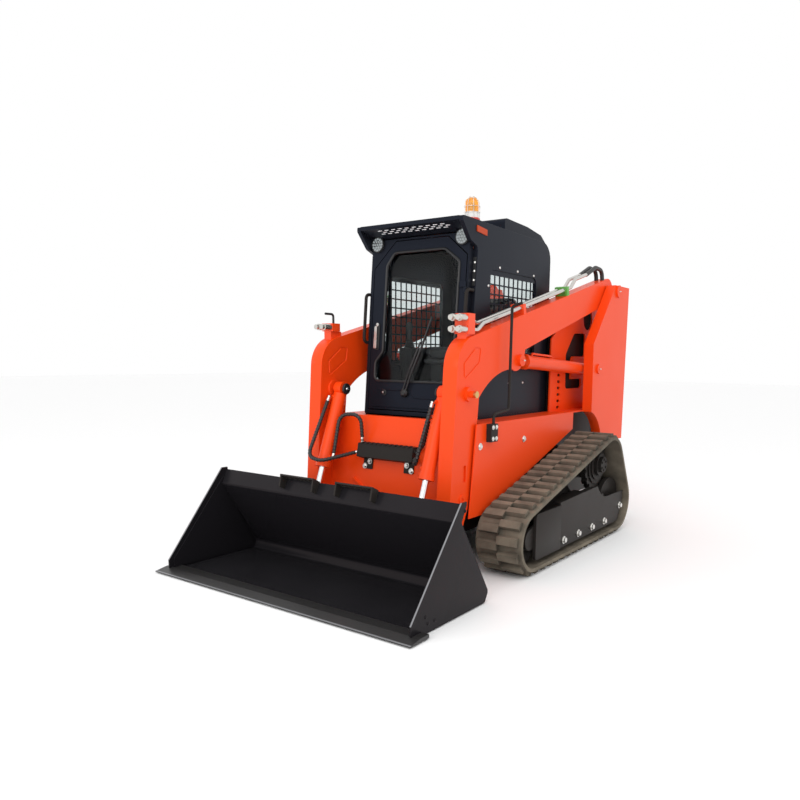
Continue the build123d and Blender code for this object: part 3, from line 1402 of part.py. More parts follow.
def make_lamp(side):
    """Round work lamp with its bezel, in a corner of the front frame above the door."""
    bezel = lamp_disc(side, LAMP_R + LAMP_RIM, LAMP_DEPTH - LAMP_BEZEL, LAMP_BEZEL)
    return lamp_disc(side, LAMP_R, 0, LAMP_DEPTH) + bezel


def make_beacon():
    """Beacon on the roof: base, lens and dome."""
    base_z = ROOF_Z + (BEACON_BASE - ROOF_FALL) / 2
    base = Pos(BEACON_X, BEACON_Y, base_z) * Cylinder(BEACON_R, BEACON_BASE + ROOF_FALL)
    lens_z = ROOF_Z + BEACON_BASE
    lens = Pos(BEACON_X, BEACON_Y, lens_z + BEACON_LENS / 2) * Cylinder(BEACON_LENS_R, BEACON_LENS)
    dome = Pos(BEACON_X, BEACON_Y, lens_z + BEACON_LENS) * Sphere(BEACON_LENS_R)
    return base + lens + dome - make_roof()


def make_grab(side):
    """Grab handle beside the door."""
    x = side * (CAB_HALF - CAB_WALL / 2)
    low = side_front(GRAB_LOW_Z) - 4 * FIT
    high = side_front(GRAB_TOP_Z) - 4 * FIT
    points = [
        (x, low, GRAB_LOW_Z),
        (x, low - GRAB_REACH, GRAB_LOW_Z),
        (x, high - GRAB_REACH, GRAB_TOP_Z),
        (x, high, GRAB_TOP_Z),
    ]
    return tube(points, GRAB_R, GRAB_BEND)


def make_post():
    """Rod from a bracket on the left side panel, up outside the arm."""
    x = PANEL_X + POST_STAND
    path = [(x, y, z) for y, z in POST_LINE]
    path.append((x + POST_TIP[0], POST_LINE[-1][0], POST_TIP[1]))
    return tube(path, POST_R, POST_BEND) + block(PANEL_X, PANEL_X + POST_BRACKET_DEPTH, *POST_BRACKET)


def make_hood():
    """Hood behind the cab, falling towards the rear, with cooling slots."""
    half = INNER_PLATE_X - TOWER_PLATE
    low = HOOD_Z - HOOD_DROP
    face = yz_face(
        [
            (CAB_REAR_Y, HOOD_Z),
            (TUB_REAR_Y, low),
            (TUB_REAR_Y, low - HOOD_THICK),
            (CAB_REAR_Y, HOOD_Z - HOOD_THICK),
        ]
    )
    middle = Pos(0, (CAB_REAR_Y + TUB_REAR_Y) / 2, low - HOOD_THICK)
    slot = RectangleRounded(*HOOD_SLOT, HOOD_SLOT[1] / 3)
    slots = Sketch() + GridLocations(1, HOOD_SLOT_PITCH, 1, HOOD_SLOTS) * slot
    return along_x(face, -half, half) - extrude(middle * slots, HOOD_DROP + 2 * HOOD_THICK)


def rear_knuckle(z, x0, x1, y0):
    """Half hinge of the engine door: a leaf block and the knuckle on the pin's line."""
    pin_x = REAR_DOOR_HALF + HINGE_OFFSET
    pin_y = TUB_REAR_Y + RUN + REAR_DOOR_THICK + HINGE_R + FIT
    knuckle = extrude(Plane.XY.offset(z) * Pos(pin_x, pin_y) * Circle(HINGE_R), HINGE_HEIGHT)
    return knuckle + block(x0, x1, y0, pin_y + HINGE_R, z, z + HINGE_HEIGHT)


def make_rear_hinges():
    """Fixed half of each engine door hinge, on the left tower's inner plate."""
    x0 = REAR_DOOR_HALF + 2 * HINGE_OFFSET
    return [rear_knuckle(z - HINGE_HEIGHT - FIT, x0, INNER_PLATE_X, TUB_REAR_Y) for z in REAR_HINGES]


def make_rear_door():
    """Engine door with round corners, a sunk grille of slots and a lug at each hinge."""
    y = TUB_REAR_Y + RUN
    low = BUMPER_TOP_Z + RUN
    high = HOOD_Z - HOOD_DROP - REAR_DOOR_DROP
    back = Plane(origin=(0, y, 0), x_dir=(1, 0, 0), z_dir=(0, -1, 0))
    slab = Pos(0, (low + high) / 2) * RectangleRounded(2 * REAR_DOOR_HALF, high - low, REAR_DOOR_CORNER_R)
    door = extrude(back * slab, -REAR_DOOR_THICK)
    middle = (GRILLE_LOW_Z + GRILLE_TOP_Z) / 2
    height = GRILLE_TOP_Z - GRILLE_LOW_Z
    sunk = Pos(0, middle) * RectangleRounded(2 * GRILLE_HALF, height, GRILLE_R)
    door -= extrude(back.offset(GRILLE_DEPTH - REAR_DOOR_THICK) * sunk, -GRILLE_DEPTH)
    width = GRILLE_HALF - GRILLE_BAR
    pitch = height / (GRILLE_SLOTS + 1)
    grid = GridLocations(width + GRILLE_BAR, pitch, 2, GRILLE_SLOTS)
    slots = Sketch() + grid * Rectangle(width, GRILLE_SLOT)
    door -= extrude(back * Pos(0, middle) * slots, -REAR_DOOR_THICK)
    pin_x = REAR_DOOR_HALF + HINGE_OFFSET
    for z in REAR_HINGES:
        door += rear_knuckle(z, pin_x - HINGE_LEAF, pin_x, y + REAR_DOOR_THICK)
    return door


def make_tail_lamp(side):
    """Tail lamp on the engine door."""
    width, height, depth = TAIL_LAMP
    y = TUB_REAR_Y + RUN + REAR_DOOR_THICK
    return Pos(side * TAIL_LAMP_X, y + depth / 2, TAIL_LAMP_Z) * Box(width, depth, height)


def make_coupler_block(levels):
    """Quick couplers in rows on a bracket at the knee of an arm."""
    front = COUPLER_REAR_Y - COUPLER_DEPTH
    low = min(levels) - COUPLER_MARGIN
    top = max(levels) + COUPLER_MARGIN
    width, length, height = COUPLER_FOOT
    half = COUPLER_BLOCK / 2
    body = block(ARM_MID_X - half, ARM_MID_X + half, front, COUPLER_REAR_Y, low, top)
    body += block(ARM_MID_X - width / 2, ARM_MID_X + width / 2, front, front + length, low - height, low)
    body -= along_x(arm_face(), ARM_IN_X, ARM_OUT_X)
    for x in (ARM_MID_X - PIPE_SPREAD / 2, ARM_MID_X + PIPE_SPREAD / 2):
        for z in levels:
            nose = Plane(origin=(x, front, z), z_dir=(0, -1, 0))
            body += extrude(nose * Circle(COUPLER_R), COUPLER_REACH)
            body += extrude(nose.offset(COUPLER_REACH) * Circle(COUPLER_NOSE_R), COUPLER_NOSE)
    return body


def make_right_coupler():
    """Right arm's coupler block with the bent hook rod that stands on it."""
    body = make_coupler_block((COUPLER_LOW_Z + COUPLER_MARGIN,))
    top = COUPLER_LOW_Z + 2 * COUPLER_MARGIN
    y = COUPLER_REAR_Y - 2 * HOOK_R
    high = top + HOOK_RISE
    points = [(ARM_MID_X, y, top), (ARM_MID_X, y, high), (ARM_MID_X, y - HOOK_REACH, high)]
    return mirror(body + tube(points, HOOK_R, HOOK_BEND), Plane.YZ)


def arm_top(y):
    """Height of the arm's straight top edge."""
    share = (y - KNEE_Y) / (BOOM_PIVOT_Y - ARM_TAIL_BACK - KNEE_Y)
    return KNEE_Z + share * (BOOM_PIVOT_Z + ARM_TAIL_R - KNEE_Z)


def make_boom_pipes():
    """Two steel pipes along the top of the left arm, from the couplers to their swan necks."""
    pipes = []
    start = COUPLER_REAR_Y + FIT
    for side, level in ((-1, COUPLER_HIGH_Z), (1, COUPLER_LOW_Z)):
        x = ARM_MID_X + side * PIPE_SPREAD / 2
        bend = (start + PIPE_JOIN_Y) / 2
        points = [(x, start, level), (x, bend, level), (x, PIPE_JOIN_Y, arm_top(PIPE_JOIN_Y) + PIPE_RISE)]
        points += [(x, y, arm_top(y) + PIPE_RISE + rise) for y, rise in PIPE_SWAN]
        pipes.append(tube(points, PIPE_R, PIPE_BEND))
    return pipes


def make_boom_hoses():
    """Hoses on the boom: two from the swan necks into the arm's tail, four at the tilt cylinders."""
    arm = along_x(arm_face(), ARM_IN_X, ARM_OUT_X)
    pipes = make_boom_pipes()
    cover = make_step_cover()
    hoses = []
    end = PIPE_SWAN[-1]
    for side, pipe in zip((-1, 1), pipes):
        x = ARM_MID_X + side * PIPE_SPREAD / 2
        points = [(x, end[0] + FIT, arm_top(end[0]) + PIPE_RISE + end[1])]
        points += [(x, y, z) for y, z in TAIL_HOSE]
        hoses.append(tube(points, TAIL_HOSE_R, TAIL_HOSE_BEND) - arm - pipe)
    for route in TILT_HOSES:
        hoses.append(tube(route, TILT_HOSE_R, TILT_HOSE_BEND) - cover)
    return hoses


def make_pipe_clamp(y):
    """Clamp block that holds both pipes on the arm's top."""
    slope = math.degrees(math.atan2(arm_top(BOOM_PIVOT_Y) - arm_top(0), BOOM_PIVOT_Y))
    frame = Pos(ARM_MID_X, y, arm_top(y)) * Rot(slope, 0, 0)
    height = PIPE_RISE + PIPE_R + CLAMP_CROWN
    width = PIPE_SPREAD + 2 * (PIPE_R + CLAMP_EDGE)
    clamp = frame * Pos(0, 0, height / 2) * Box(width, CLAMP_LENGTH, height)
    rise = PIPE_RISE * math.cos(math.radians(slope))
    for x in (-PIPE_SPREAD / 2, PIPE_SPREAD / 2):
        clamp -= frame * Pos(x, 0, rise) * Rot(90, 0, 0) * Cylinder(PIPE_R + FIT, 2 * CLAMP_LENGTH)
    return clamp


def main():
    os.makedirs("parts", exist_ok=True)
    track = make_track()
    frame = make_track_frame()
    for name, side in (("left", 0), ("right", 1)):
        save(f"track_{name}", pair(track)[side])
        save(f"track_frame_{name}", pair(frame)[side])
        save(f"tower_outer_{name}", pair(make_tower_outer())[side])
        save(f"tower_inner_{name}", pair(make_tower_inner())[side])
        save(f"arm_{name}", pair(make_arm())[side])
        save(f"cab_side_{name}", pair(make_cab_side())[side])
        save(f"window_guard_{name}", pair(make_window_guard())[side])
        save(f"side_panel_{name}", pair(make_side_panel())[side])
    save("front_idlers", *pair(wheel(*WHEELS[0], YOKE_THICK)))
    save("rear_idlers", *pair(wheel(*WHEELS[1])))
    save("sprockets", *pair(make_sprocket()))
    save("final_drives", *pair(make_final_drive()))
    save("rollers", *[solid for roller in make_rollers() for solid in pair(roller)])
    save("tub", make_tub())
    save("engine", make_engine())
    save("rear_bumper", make_bumper())
    save("tower_pins", *[solid for pin in make_tower_pins() for solid in pair(pin)])
    save("boom_pins", *pair(make_tilt_pin()), *pair(make_lift_boss()))
    save("crossmember", make_crossmember())
    save("step_cover", make_step_cover())
    save("quick_couplers", make_coupler_block((COUPLER_LOW_Z, COUPLER_HIGH_Z)), make_right_coupler())
    save("boom_pipes", *make_boom_pipes())
    save("boom_hoses", *make_boom_hoses())
    save("pipe_clamps", *[make_pipe_clamp(y) for y in CLAMP_Y])
    save("lift_barrels", *pair(make_lift_barrel()))
    save("lift_rods", *pair(make_rod(ARM_MID_X, *LIFT, LIFT_ROD_R, LIFT_PIN_R, ROD_ROOT[0])))
    save("tilt_barrels", make_tilt_barrel(1), make_tilt_barrel(-1))
    save("tilt_rods", *pair(make_rod(TILT_X, *TILT, TILT_ROD_R, TILT_PIN_R, ROD_ROOT[1])))
    save("bucket_shell", make_bucket_shell())
    save("cutting_edge", make_cutting_edge())
    save("coupler_plate", make_coupler())
    save("bucket_pins", *pair(make_bucket_pin()))
    save("bucket_steps", make_bucket_step(-LADDER_X), make_bucket_step(LADDER_X))
    save("cab_roof", make_roof())
    save("cab_front", make_cab_front())
    save("cab_floor", make_cab_floor())
    save("cab_rear", make_cab_rear())
    save("side_glass", *pair(make_side_glass()))
    save("rear_glass", make_rear_glass())
    save("seat", make_seat())
    save("consoles", make_console(-1), make_console(1))
    save("work_lamps", make_lamp(-1), make_lamp(1))
    save("beacon", make_beacon())
    save("grab_handles", make_grab(-1), make_grab(1))
    save("mirror_posts", make_post())
    save("door_frame", make_door())
    save("door_glass", make_door_glass())
    save("door_handle", make_door_handle())
    save("hood", make_hood())
    save("rear_door", make_rear_door())
    save("door_hinges", *make_door_hinges(), *make_rear_hinges())
    save("tail_lamps", make_tail_lamp(-1), make_tail_lamp(1))


main()
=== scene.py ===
"""Looks of the compact track loader: materials, small parts, soft parts and the stage."""

import json
import math

import bmesh
import bpy
import numpy as np
from bpy.props import FloatProperty, FloatVectorProperty, IntProperty, PointerProperty
from mathutils import Matrix, Vector


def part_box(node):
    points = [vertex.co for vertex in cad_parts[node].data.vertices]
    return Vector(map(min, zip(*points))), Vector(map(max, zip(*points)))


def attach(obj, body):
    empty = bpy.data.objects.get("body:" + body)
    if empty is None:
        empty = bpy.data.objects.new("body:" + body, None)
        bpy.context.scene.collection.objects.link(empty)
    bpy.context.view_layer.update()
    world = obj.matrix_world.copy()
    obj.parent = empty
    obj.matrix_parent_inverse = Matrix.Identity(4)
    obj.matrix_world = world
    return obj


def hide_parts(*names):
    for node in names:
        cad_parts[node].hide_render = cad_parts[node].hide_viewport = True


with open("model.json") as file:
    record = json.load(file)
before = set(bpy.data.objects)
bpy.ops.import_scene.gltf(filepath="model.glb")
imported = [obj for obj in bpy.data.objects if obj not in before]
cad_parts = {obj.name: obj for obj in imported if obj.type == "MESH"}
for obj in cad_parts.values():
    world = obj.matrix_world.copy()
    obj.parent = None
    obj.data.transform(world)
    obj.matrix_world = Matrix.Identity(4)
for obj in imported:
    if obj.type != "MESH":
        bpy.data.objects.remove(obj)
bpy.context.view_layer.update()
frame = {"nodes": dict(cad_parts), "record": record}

bl_info = {
    "name": "Track Loader Looks",
    "version": (1, 0, 0),
    "blender": (4, 5, 0),
    "location": "3D View > Sidebar > Loader",
    "description": "Materials, small parts, seat and stage of a compact track loader",
    "category": "Object",
}

TAU = 2 * math.pi


# Properties


def length(name, default, description):
    """A length in metres that a user may change."""
    return FloatProperty(
        name=name, description=description, default=default, min=0, unit="LENGTH", precision=4
    )


def colour(name, default, description):
    """A linear colour that a user may change."""
    return FloatVectorProperty(
        name=name, description=description, default=default, size=3, min=0, max=1, subtype="COLOR"
    )


def share(name, default, description):
    """A value between nothing and one."""
    return FloatProperty(
        name=name, description=description, default=default, min=0, max=1, subtype="FACTOR"
    )


def number(name, default, description):
    """A number of like things round a circle."""
    return IntProperty(name=name, description=description, default=default, min=3)


def strength(name, default, description):
    """The strength of a light."""
    return FloatProperty(name=name, description=description, default=default, min=0)


def camera_angle(name, degrees, description):
    """An angle of the camera, given in degrees and kept in radians."""
    return FloatProperty(
        name=name, description=description, default=math.radians(degrees), subtype="ANGLE"
    )


class LoaderPaint(bpy.types.PropertyGroup):
    """Colours and finish of the surfaces."""

    orange: colour("Orange", (0.86, 0.060, 0.004), "Paint of boom, towers and panels")
    cab: colour("Cab", (0.0092, 0.0100, 0.0142), "Cab paint")
    frame: colour("Undercarriage", (0.02, 0.018, 0.017), "Paint of the undercarriage")
    bucket: colour("Bucket", (0.0110, 0.0102, 0.0120), "Bucket paint")
    rubber: colour("Track", (0.026, 0.023, 0.020), "Track rubber under its dust")
    dust: colour("Dust", (0.235, 0.200, 0.150), "Dust on the track")
    glass: colour("Glass", (0.80, 0.84, 0.84), "Tint of the panes")
    amber: colour("Amber", (1.0, 0.44, 0.05), "Beacon lens")
    clamp: colour("Clamp", (0.10, 0.36, 0.05), "Pipe clamps")
    edge_round: length("Edge round", 0.0022, "Rounding of the metal parts' edges")
    gloss: share("Gloss", 0.38, "Roughness of the orange paint")


class LoaderParts(bpy.types.PropertyGroup):
    """Sizes of the small parts."""

    roller_bolt: length("Roller bolt", 0.017, "Half width of a roller bolt's head")
    seal: length("Seal", 0.009, "Radius of the window seals")
    wrap_pitch: length("Hose wrap pitch", 0.021, "Pitch of the spiral wrap on the hoses")
    wrap_rise: length("Hose wrap rise", 0.0026, "Height of the spiral wrap")
    wiper: length("Wiper arm", 0.006, "Radius of the wiper's arms")
    lens_ribs: number("Lens ribs", 24, "Ribs round the beacon's lens")
    cage_wires: number("Cage wires", 8, "Upright wires round the beacon")
    lamp_cells: number("Lamp cells", 12, "Diodes round a work lamp's outer ring")
    cushion_rise: length("Cushion rise", 0.020, "Farthest that the seat's padding swells")


class LoaderStage(bpy.types.PropertyGroup):
    """Light, floor and camera."""

    key: strength("Key light", 90.0, "Strength of the large soft light")
    fill: strength("Fill light", 150.0, "Strength of the light from the front")
    sky: strength("Sky", 1.0, "Strength of the even light")
    floor: colour("Floor", (0.97, 0.97, 0.97), "Floor")
    azimuth: camera_angle("Azimuth", 34.271, "Camera's turn round the loader")
    elevation: camera_angle("Elevation", 9.908, "Camera's height angle")
    roll: camera_angle("Roll", 0.684, "Camera's tilt about its own axis")
    place: FloatVectorProperty(
        name="Place",
        description="Camera's position",
        default=(2.837, -4.130, 1.324),
        size=3,
        subtype="XYZ",
        unit="LENGTH",
    )
    lens: FloatProperty(name="Lens", description="Focal length over the picture's width", default=0.879778)
    shift: FloatVectorProperty(
        name="Shift", description="Lens shift", default=(-0.059529, 0.100624), size=2
    )


def paint():
    """The scene's paint settings."""
    return bpy.context.scene.loader_paint


def parts():
    """The scene's small-part settings."""
    return bpy.context.scene.loader_parts


# Surfaces

UP, OUT, BACK = (0, 0, 1), (1, 0, 0), (0, 1, 0)
MIRROR = (-1.0, 1.0, 1.0)
CORNER_SHARE = 0.49
ARC_POINTS = 12
MERGE_GAP = 1e-6
SHARP_ANGLE = 35


def unit(v):
    """v / |v| along the last axis."""
    v = np.asarray(v, float)
    return v / np.maximum(np.linalg.norm(v, axis=-1, keepdims=True), 1e-12)


def across(axis):
    """Two unit vectors square to axis and to each other."""
    axis = unit(axis)
    helper = np.where(np.abs(axis[..., 2:3]) < 0.9, [0.0, 0.0, 1.0], [1.0, 0.0, 0.0])
    first = unit(np.cross(helper, axis))
    return first, np.cross(axis, first)


def quads(nu, nv, close_u=False, close_v=False):
    """Faces of a grid: (i, j), (i+1, j), (i+1, j+1), (i, j+1)."""
    rows, columns = np.arange(nu if close_u else nu - 1), np.arange(nv if close_v else nv - 1)
    i, j = np.meshgrid(rows, columns, indexing="ij")
    i, j = i.ravel(), j.ravel()
    k, m = (i + 1) % nu, (j + 1) % nv
    return np.stack([i * nv + j, k * nv + j, k * nv + m, i * nv + m], 1)


def lathe(profile, at, axis, sides):
    """P(i, j) = at + h_i axis + r_i (cos t_j e1 + sin t_j e2), t_j = 2 pi j / sides, for each place in at.

    The profile runs from the axis to the axis, its first point lowest on the axis."""
    at = np.atleast_2d(np.asarray(at, float))
    axis = np.broadcast_to(np.asarray(axis, float), at.shape)
    e1, e2 = across(axis)
    profile = np.asarray(profile, float)
    angle = TAU * np.arange(sides) / sides
    ring = e1[:, None, :] * np.cos(angle)[:, None] + e2[:, None, :] * np.sin(angle)[:, None]
    up = unit(axis)[:, None, None, :] * profile[:, 1][None, :, None, None]
    grid = at[:, None, None, :] + up + ring[:, None, :, :] * profile[:, 0][None, :, None, None]
    k = len(profile) * sides
    faces = quads(len(profile), sides, close_v=True)[:, ::-1]
    faces = (faces[None] + k * np.arange(len(at))[:, None, None]).reshape(-1, 4)
    return grid.reshape(-1, 3), faces


def rounded(points, radius, step):
    """Polyline with each corner replaced by a circular arc, sampled at even steps of arc length."""
    points = np.asarray(points, float)
    pieces = [points[:1]]
    for before, corner, after in zip(points[:-2], points[1:-1], points[2:]):
        a, b = unit(before - corner), unit(after - corner)
        half = math.acos(float(np.clip(a @ b, -1, 1))) / 2
        side = min(np.linalg.norm(before - corner), np.linalg.norm(after - corner))
        bend = min(radius, CORNER_SHARE * side * math.tan(half))
        centre = corner + unit(a + b) * bend / math.sin(half)
        start = corner + a * bend / math.tan(half) - centre
        end = corner + b * bend / math.tan(half) - centre
        sweep = max(math.pi - 2 * half, 1e-4)
        t = np.linspace(0, 1, ARC_POINTS)[:, None]
        arc = np.sin((1 - t) * sweep) * start + np.sin(t * sweep) * end
        pieces.append(centre + arc / math.sin(sweep))
    pieces.append(points[-1:])
    path = np.concatenate(pieces)
    along = np.concatenate([[0], np.cumsum(np.linalg.norm(np.diff(path, axis=0), axis=1))])
    even = np.linspace(0, along[-1], max(int(along[-1] / step), 2) + 1)
    return np.stack([np.interp(even, along, path[:, c]) for c in range(3)], 1)


def tube(path, radius, sides=12, closed=False, pitch=0.0, rise=0.0):
    """P(i, j) = c_i + (r + a max(0, cos(t_j - 2 pi s_i / p))) (cos t_j N_i + sin t_j B_i).

    s_i is the arc length, a and p are the height and pitch of a spiral wrap.
    N and B are square to the path."""
    path = np.asarray(path, float)
    run = np.roll(path, -1, 0) - np.roll(path, 1, 0) if closed else np.gradient(path, axis=0)
    run = unit(run)
    _, _, axes = np.linalg.svd(path - path.mean(0))
    normal = unit(axes[2] - run * (run @ axes[2])[:, None])
    binormal = np.cross(run, normal)
    along = np.concatenate([[0], np.cumsum(np.linalg.norm(np.diff(path, axis=0), axis=1))])
    angle = TAU * np.arange(sides) / sides
    phase = angle[None, :] - (TAU * along[:, None] / pitch if pitch else 0.0)
    r = radius + rise * np.maximum(0, np.cos(phase)) if pitch else np.full((len(path), sides), radius)
    ring = normal[:, None] * np.cos(angle)[None, :, None] + binormal[:, None] * np.sin(angle)[None, :, None]
    grid = path[:, None] + r[..., None] * ring
    if not closed:
        ends = (np.repeat(path[:1, None], sides, 1), grid, np.repeat(path[-1:, None], sides, 1))
        grid = np.concatenate(ends)
    return grid.reshape(-1, 3), quads(len(grid), sides, close_u=closed, close_v=True)


def slab(outline, normal, thick):
    """Flat plate: rings of the closed outline at heights 0, 0, t, t, scaled 0, 1, 1, 0 about its middle."""
    outline = np.asarray(outline, float)
    middle = outline.mean(0)
    push = unit(normal) * thick
    rings = [np.repeat(middle[None], len(outline), 0), outline, outline + push]
    rings.append(np.repeat(middle[None] + push, len(outline), 0))
    grid = np.stack(rings)
    turn = np.cross(outline - middle, np.roll(outline, -1, 0) - middle).sum(0) @ unit(normal)
    faces = quads(4, len(outline), close_v=True)
    return grid.reshape(-1, 3), faces if turn < 0 else faces[:, ::-1]


def flattened(w, power):
    """sign(w) |w|^power."""
    return np.sign(w) * np.abs(w) ** power


def pillow(centre, half, turn=0.0, power=0.32, count=(40, 56)):
    """Superellipsoid turned about X: x = a c(u) c(v), y = b c(u) s(v), z = h s(u).

    c and s are cosine and sine raised to a small power with their signs kept."""
    u = np.linspace(-math.pi / 2, math.pi / 2, count[0])[:, None]
    v = np.linspace(-math.pi, math.pi, count[1], endpoint=False)[None, :]
    cu, su, cv, sv = (flattened(wave(w), power) for w in (u, v) for wave in (np.cos, np.sin))
    x, y = cu * cv * half[0], cu * sv * half[1]
    z = np.broadcast_to(su * half[2], x.shape)
    c, s = math.cos(turn), math.sin(turn)
    grid = np.stack([x, y * c - z * s, y * s + z * c], -1) + np.asarray(centre, float)
    return grid.reshape(-1, 3), quads(*count, close_v=True)[:, ::-1]


def mirrored(surface):
    """The surface and its mirror image in x, with the faces of the image turned."""
    verts, faces = surface
    return [surface, (verts * MIRROR, faces[:, ::-1])]


def piece(name, surfaces, finish, body, flat=SHARP_ANGLE, levels=0):
    """One mesh object from (vertices, faces) pairs, closed at its poles, riding on a CAD body."""
    surfaces = surfaces if isinstance(surfaces, list) else [surfaces]
    starts = np.cumsum([0] + [len(v) for v, _ in surfaces])
    verts = np.concatenate([v for v, _ in surfaces])
    faces = np.concatenate([f + s for (_, f), s in zip(surfaces, starts)])
    mesh = bpy.data.meshes.new(name)
    mesh.from_pydata(verts.tolist(), [], faces.tolist())
    obj = bpy.data.objects.new(name, mesh)
    bpy.context.scene.collection.objects.link(obj)
    clean(mesh, flat)
    mesh.materials.append(MATERIALS[finish])
    if levels:
        smooth = obj.modifiers.new("Smooth", "SUBSURF")
        smooth.levels = smooth.render_levels = levels
    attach(obj, body)
    return obj


def clean(mesh, flat):
    """Merges the doubles at poles and shades smooth, sharp above the flat angle."""
    bm = bmesh.new()
    bm.from_mesh(mesh)
    bmesh.ops.remove_doubles(bm, verts=bm.verts, dist=MERGE_GAP)
    bmesh.ops.dissolve_degenerate(bm, edges=bm.edges, dist=MERGE_GAP)
    bm.to_mesh(mesh)
    bm.free()
    mesh.shade_smooth()
    mesh.set_sharp_from_angle(angle=math.radians(flat))


# Materials

GRAIN_HEIGHT = 0.0006
COAT_ROUGH = 0.12
PANE_IOR = 1.2
COUPLER_SPLIT_Y, CLAMP_SPLIT_Y = -0.626, 0.4
WELD_GAP = 0.00002
CREASE_ANGLE, FLAT_ANGLE, BEVEL_ANGLE = 32, 0.6, 40


def fill(node, values):
    """Sets a node's inputs by their names."""
    for label, value in values.items():
        node.inputs[label].default_value = value


def blend(tree, first, second, factor):
    """Mixes two colours by the factor socket into the base colour of a material's tree."""
    mix = tree.nodes.new("ShaderNodeMix")
    mix.data_type = "RGBA"
    fill(mix, {"A": (*first, 1), "B": (*second, 1)})
    tree.links.new(factor, mix.inputs["Factor"])
    tree.links.new(mix.outputs["Result"], tree.nodes["Principled BSDF"].inputs["Base Color"])


def node_group(name, inputs, outputs):
    """Empty shader group with value inputs and (name, type) outputs."""
    group = bpy.data.node_groups.new(name, "ShaderNodeTree")
    for label, default in inputs:
        socket = group.interface.new_socket(label, in_out="INPUT", socket_type="NodeSocketFloat")
        socket.default_value = default
    for label, kind in outputs:
        group.interface.new_socket(label, in_out="OUTPUT", socket_type=kind)
    return group, group.nodes.new("NodeGroupInput"), group.nodes.new("NodeGroupOutput")


def grain_group():
    """Fine bump and a broad blotch mask, both from noise in Object coordinates."""
    group, given, out = node_group(
        "Loader Grain",
        [("Scale", 400.0), ("Depth", 0.1), ("Blotch", 5.0)],
        [("Mask", "NodeSocketFloat"), ("Normal", "NodeSocketVector")],
    )
    add, link = group.nodes.new, group.links.new
    place = add("ShaderNodeTexCoord")
    fine, broad = add("ShaderNodeTexNoise"), add("ShaderNodeTexNoise")
    broad.inputs["Detail"].default_value = 5
    bump = add("ShaderNodeBump")
    bump.inputs["Distance"].default_value = GRAIN_HEIGHT
    for texture, label in ((fine, "Scale"), (broad, "Blotch")):
        link(place.outputs["Object"], texture.inputs["Vector"])
        link(given.outputs[label], texture.inputs["Scale"])
    link(given.outputs["Depth"], bump.inputs["Strength"])
    link(fine.outputs["Fac"], bump.inputs["Height"])
    link(bump.outputs["Normal"], out.inputs["Normal"])
    link(broad.outputs["Fac"], out.inputs["Mask"])
    return group


def dust_and_sheen_group():
    """Mask thicker low down and on faces that look up, broken by noise: real dust on the frame and the track,
    painted sheen on the bucket's top faces.
    """
    group, given, out = node_group(
        "Loader Dust And Sheen",
        [("Low", 0.0), ("High", 0.8), ("Up", 0.3), ("Scale", 7.0)],
        [("Mask", "NodeSocketFloat")],
    )
    add, link = group.nodes.new, group.links.new
    place, face = add("ShaderNodeTexCoord"), add("ShaderNodeNewGeometry")
    split, turned = add("ShaderNodeSeparateXYZ"), add("ShaderNodeSeparateXYZ")
    fall = add("ShaderNodeMapRange")
    fill(fall, {"To Min": 1, "To Max": 0})
    noise = add("ShaderNodeTexNoise")
    noise.inputs["Detail"].default_value = 6
    rise, both, cut = add("ShaderNodeMath"), add("ShaderNodeMath"), add("ShaderNodeMath")
    rise.operation, both.operation, cut.operation = "MULTIPLY", "ADD", "MULTIPLY"
    both.use_clamp = True
    link(place.outputs["Object"], split.inputs[0])
    link(split.outputs["Z"], fall.inputs["Value"])
    link(given.outputs["Low"], fall.inputs["From Min"])
    link(given.outputs["High"], fall.inputs["From Max"])
    link(face.outputs["Normal"], turned.inputs[0])
    link(turned.outputs["Z"], rise.inputs[0])
    link(given.outputs["Up"], rise.inputs[1])
    link(place.outputs["Object"], noise.inputs["Vector"])
    link(given.outputs["Scale"], noise.inputs["Scale"])
    link(fall.outputs["Result"], both.inputs[0])
    link(rise.outputs[0], both.inputs[1])
    link(both.outputs[0], cut.inputs[0])
    link(noise.outputs["Fac"], cut.inputs[1])
    link(cut.outputs[0], out.inputs["Mask"])
    return group


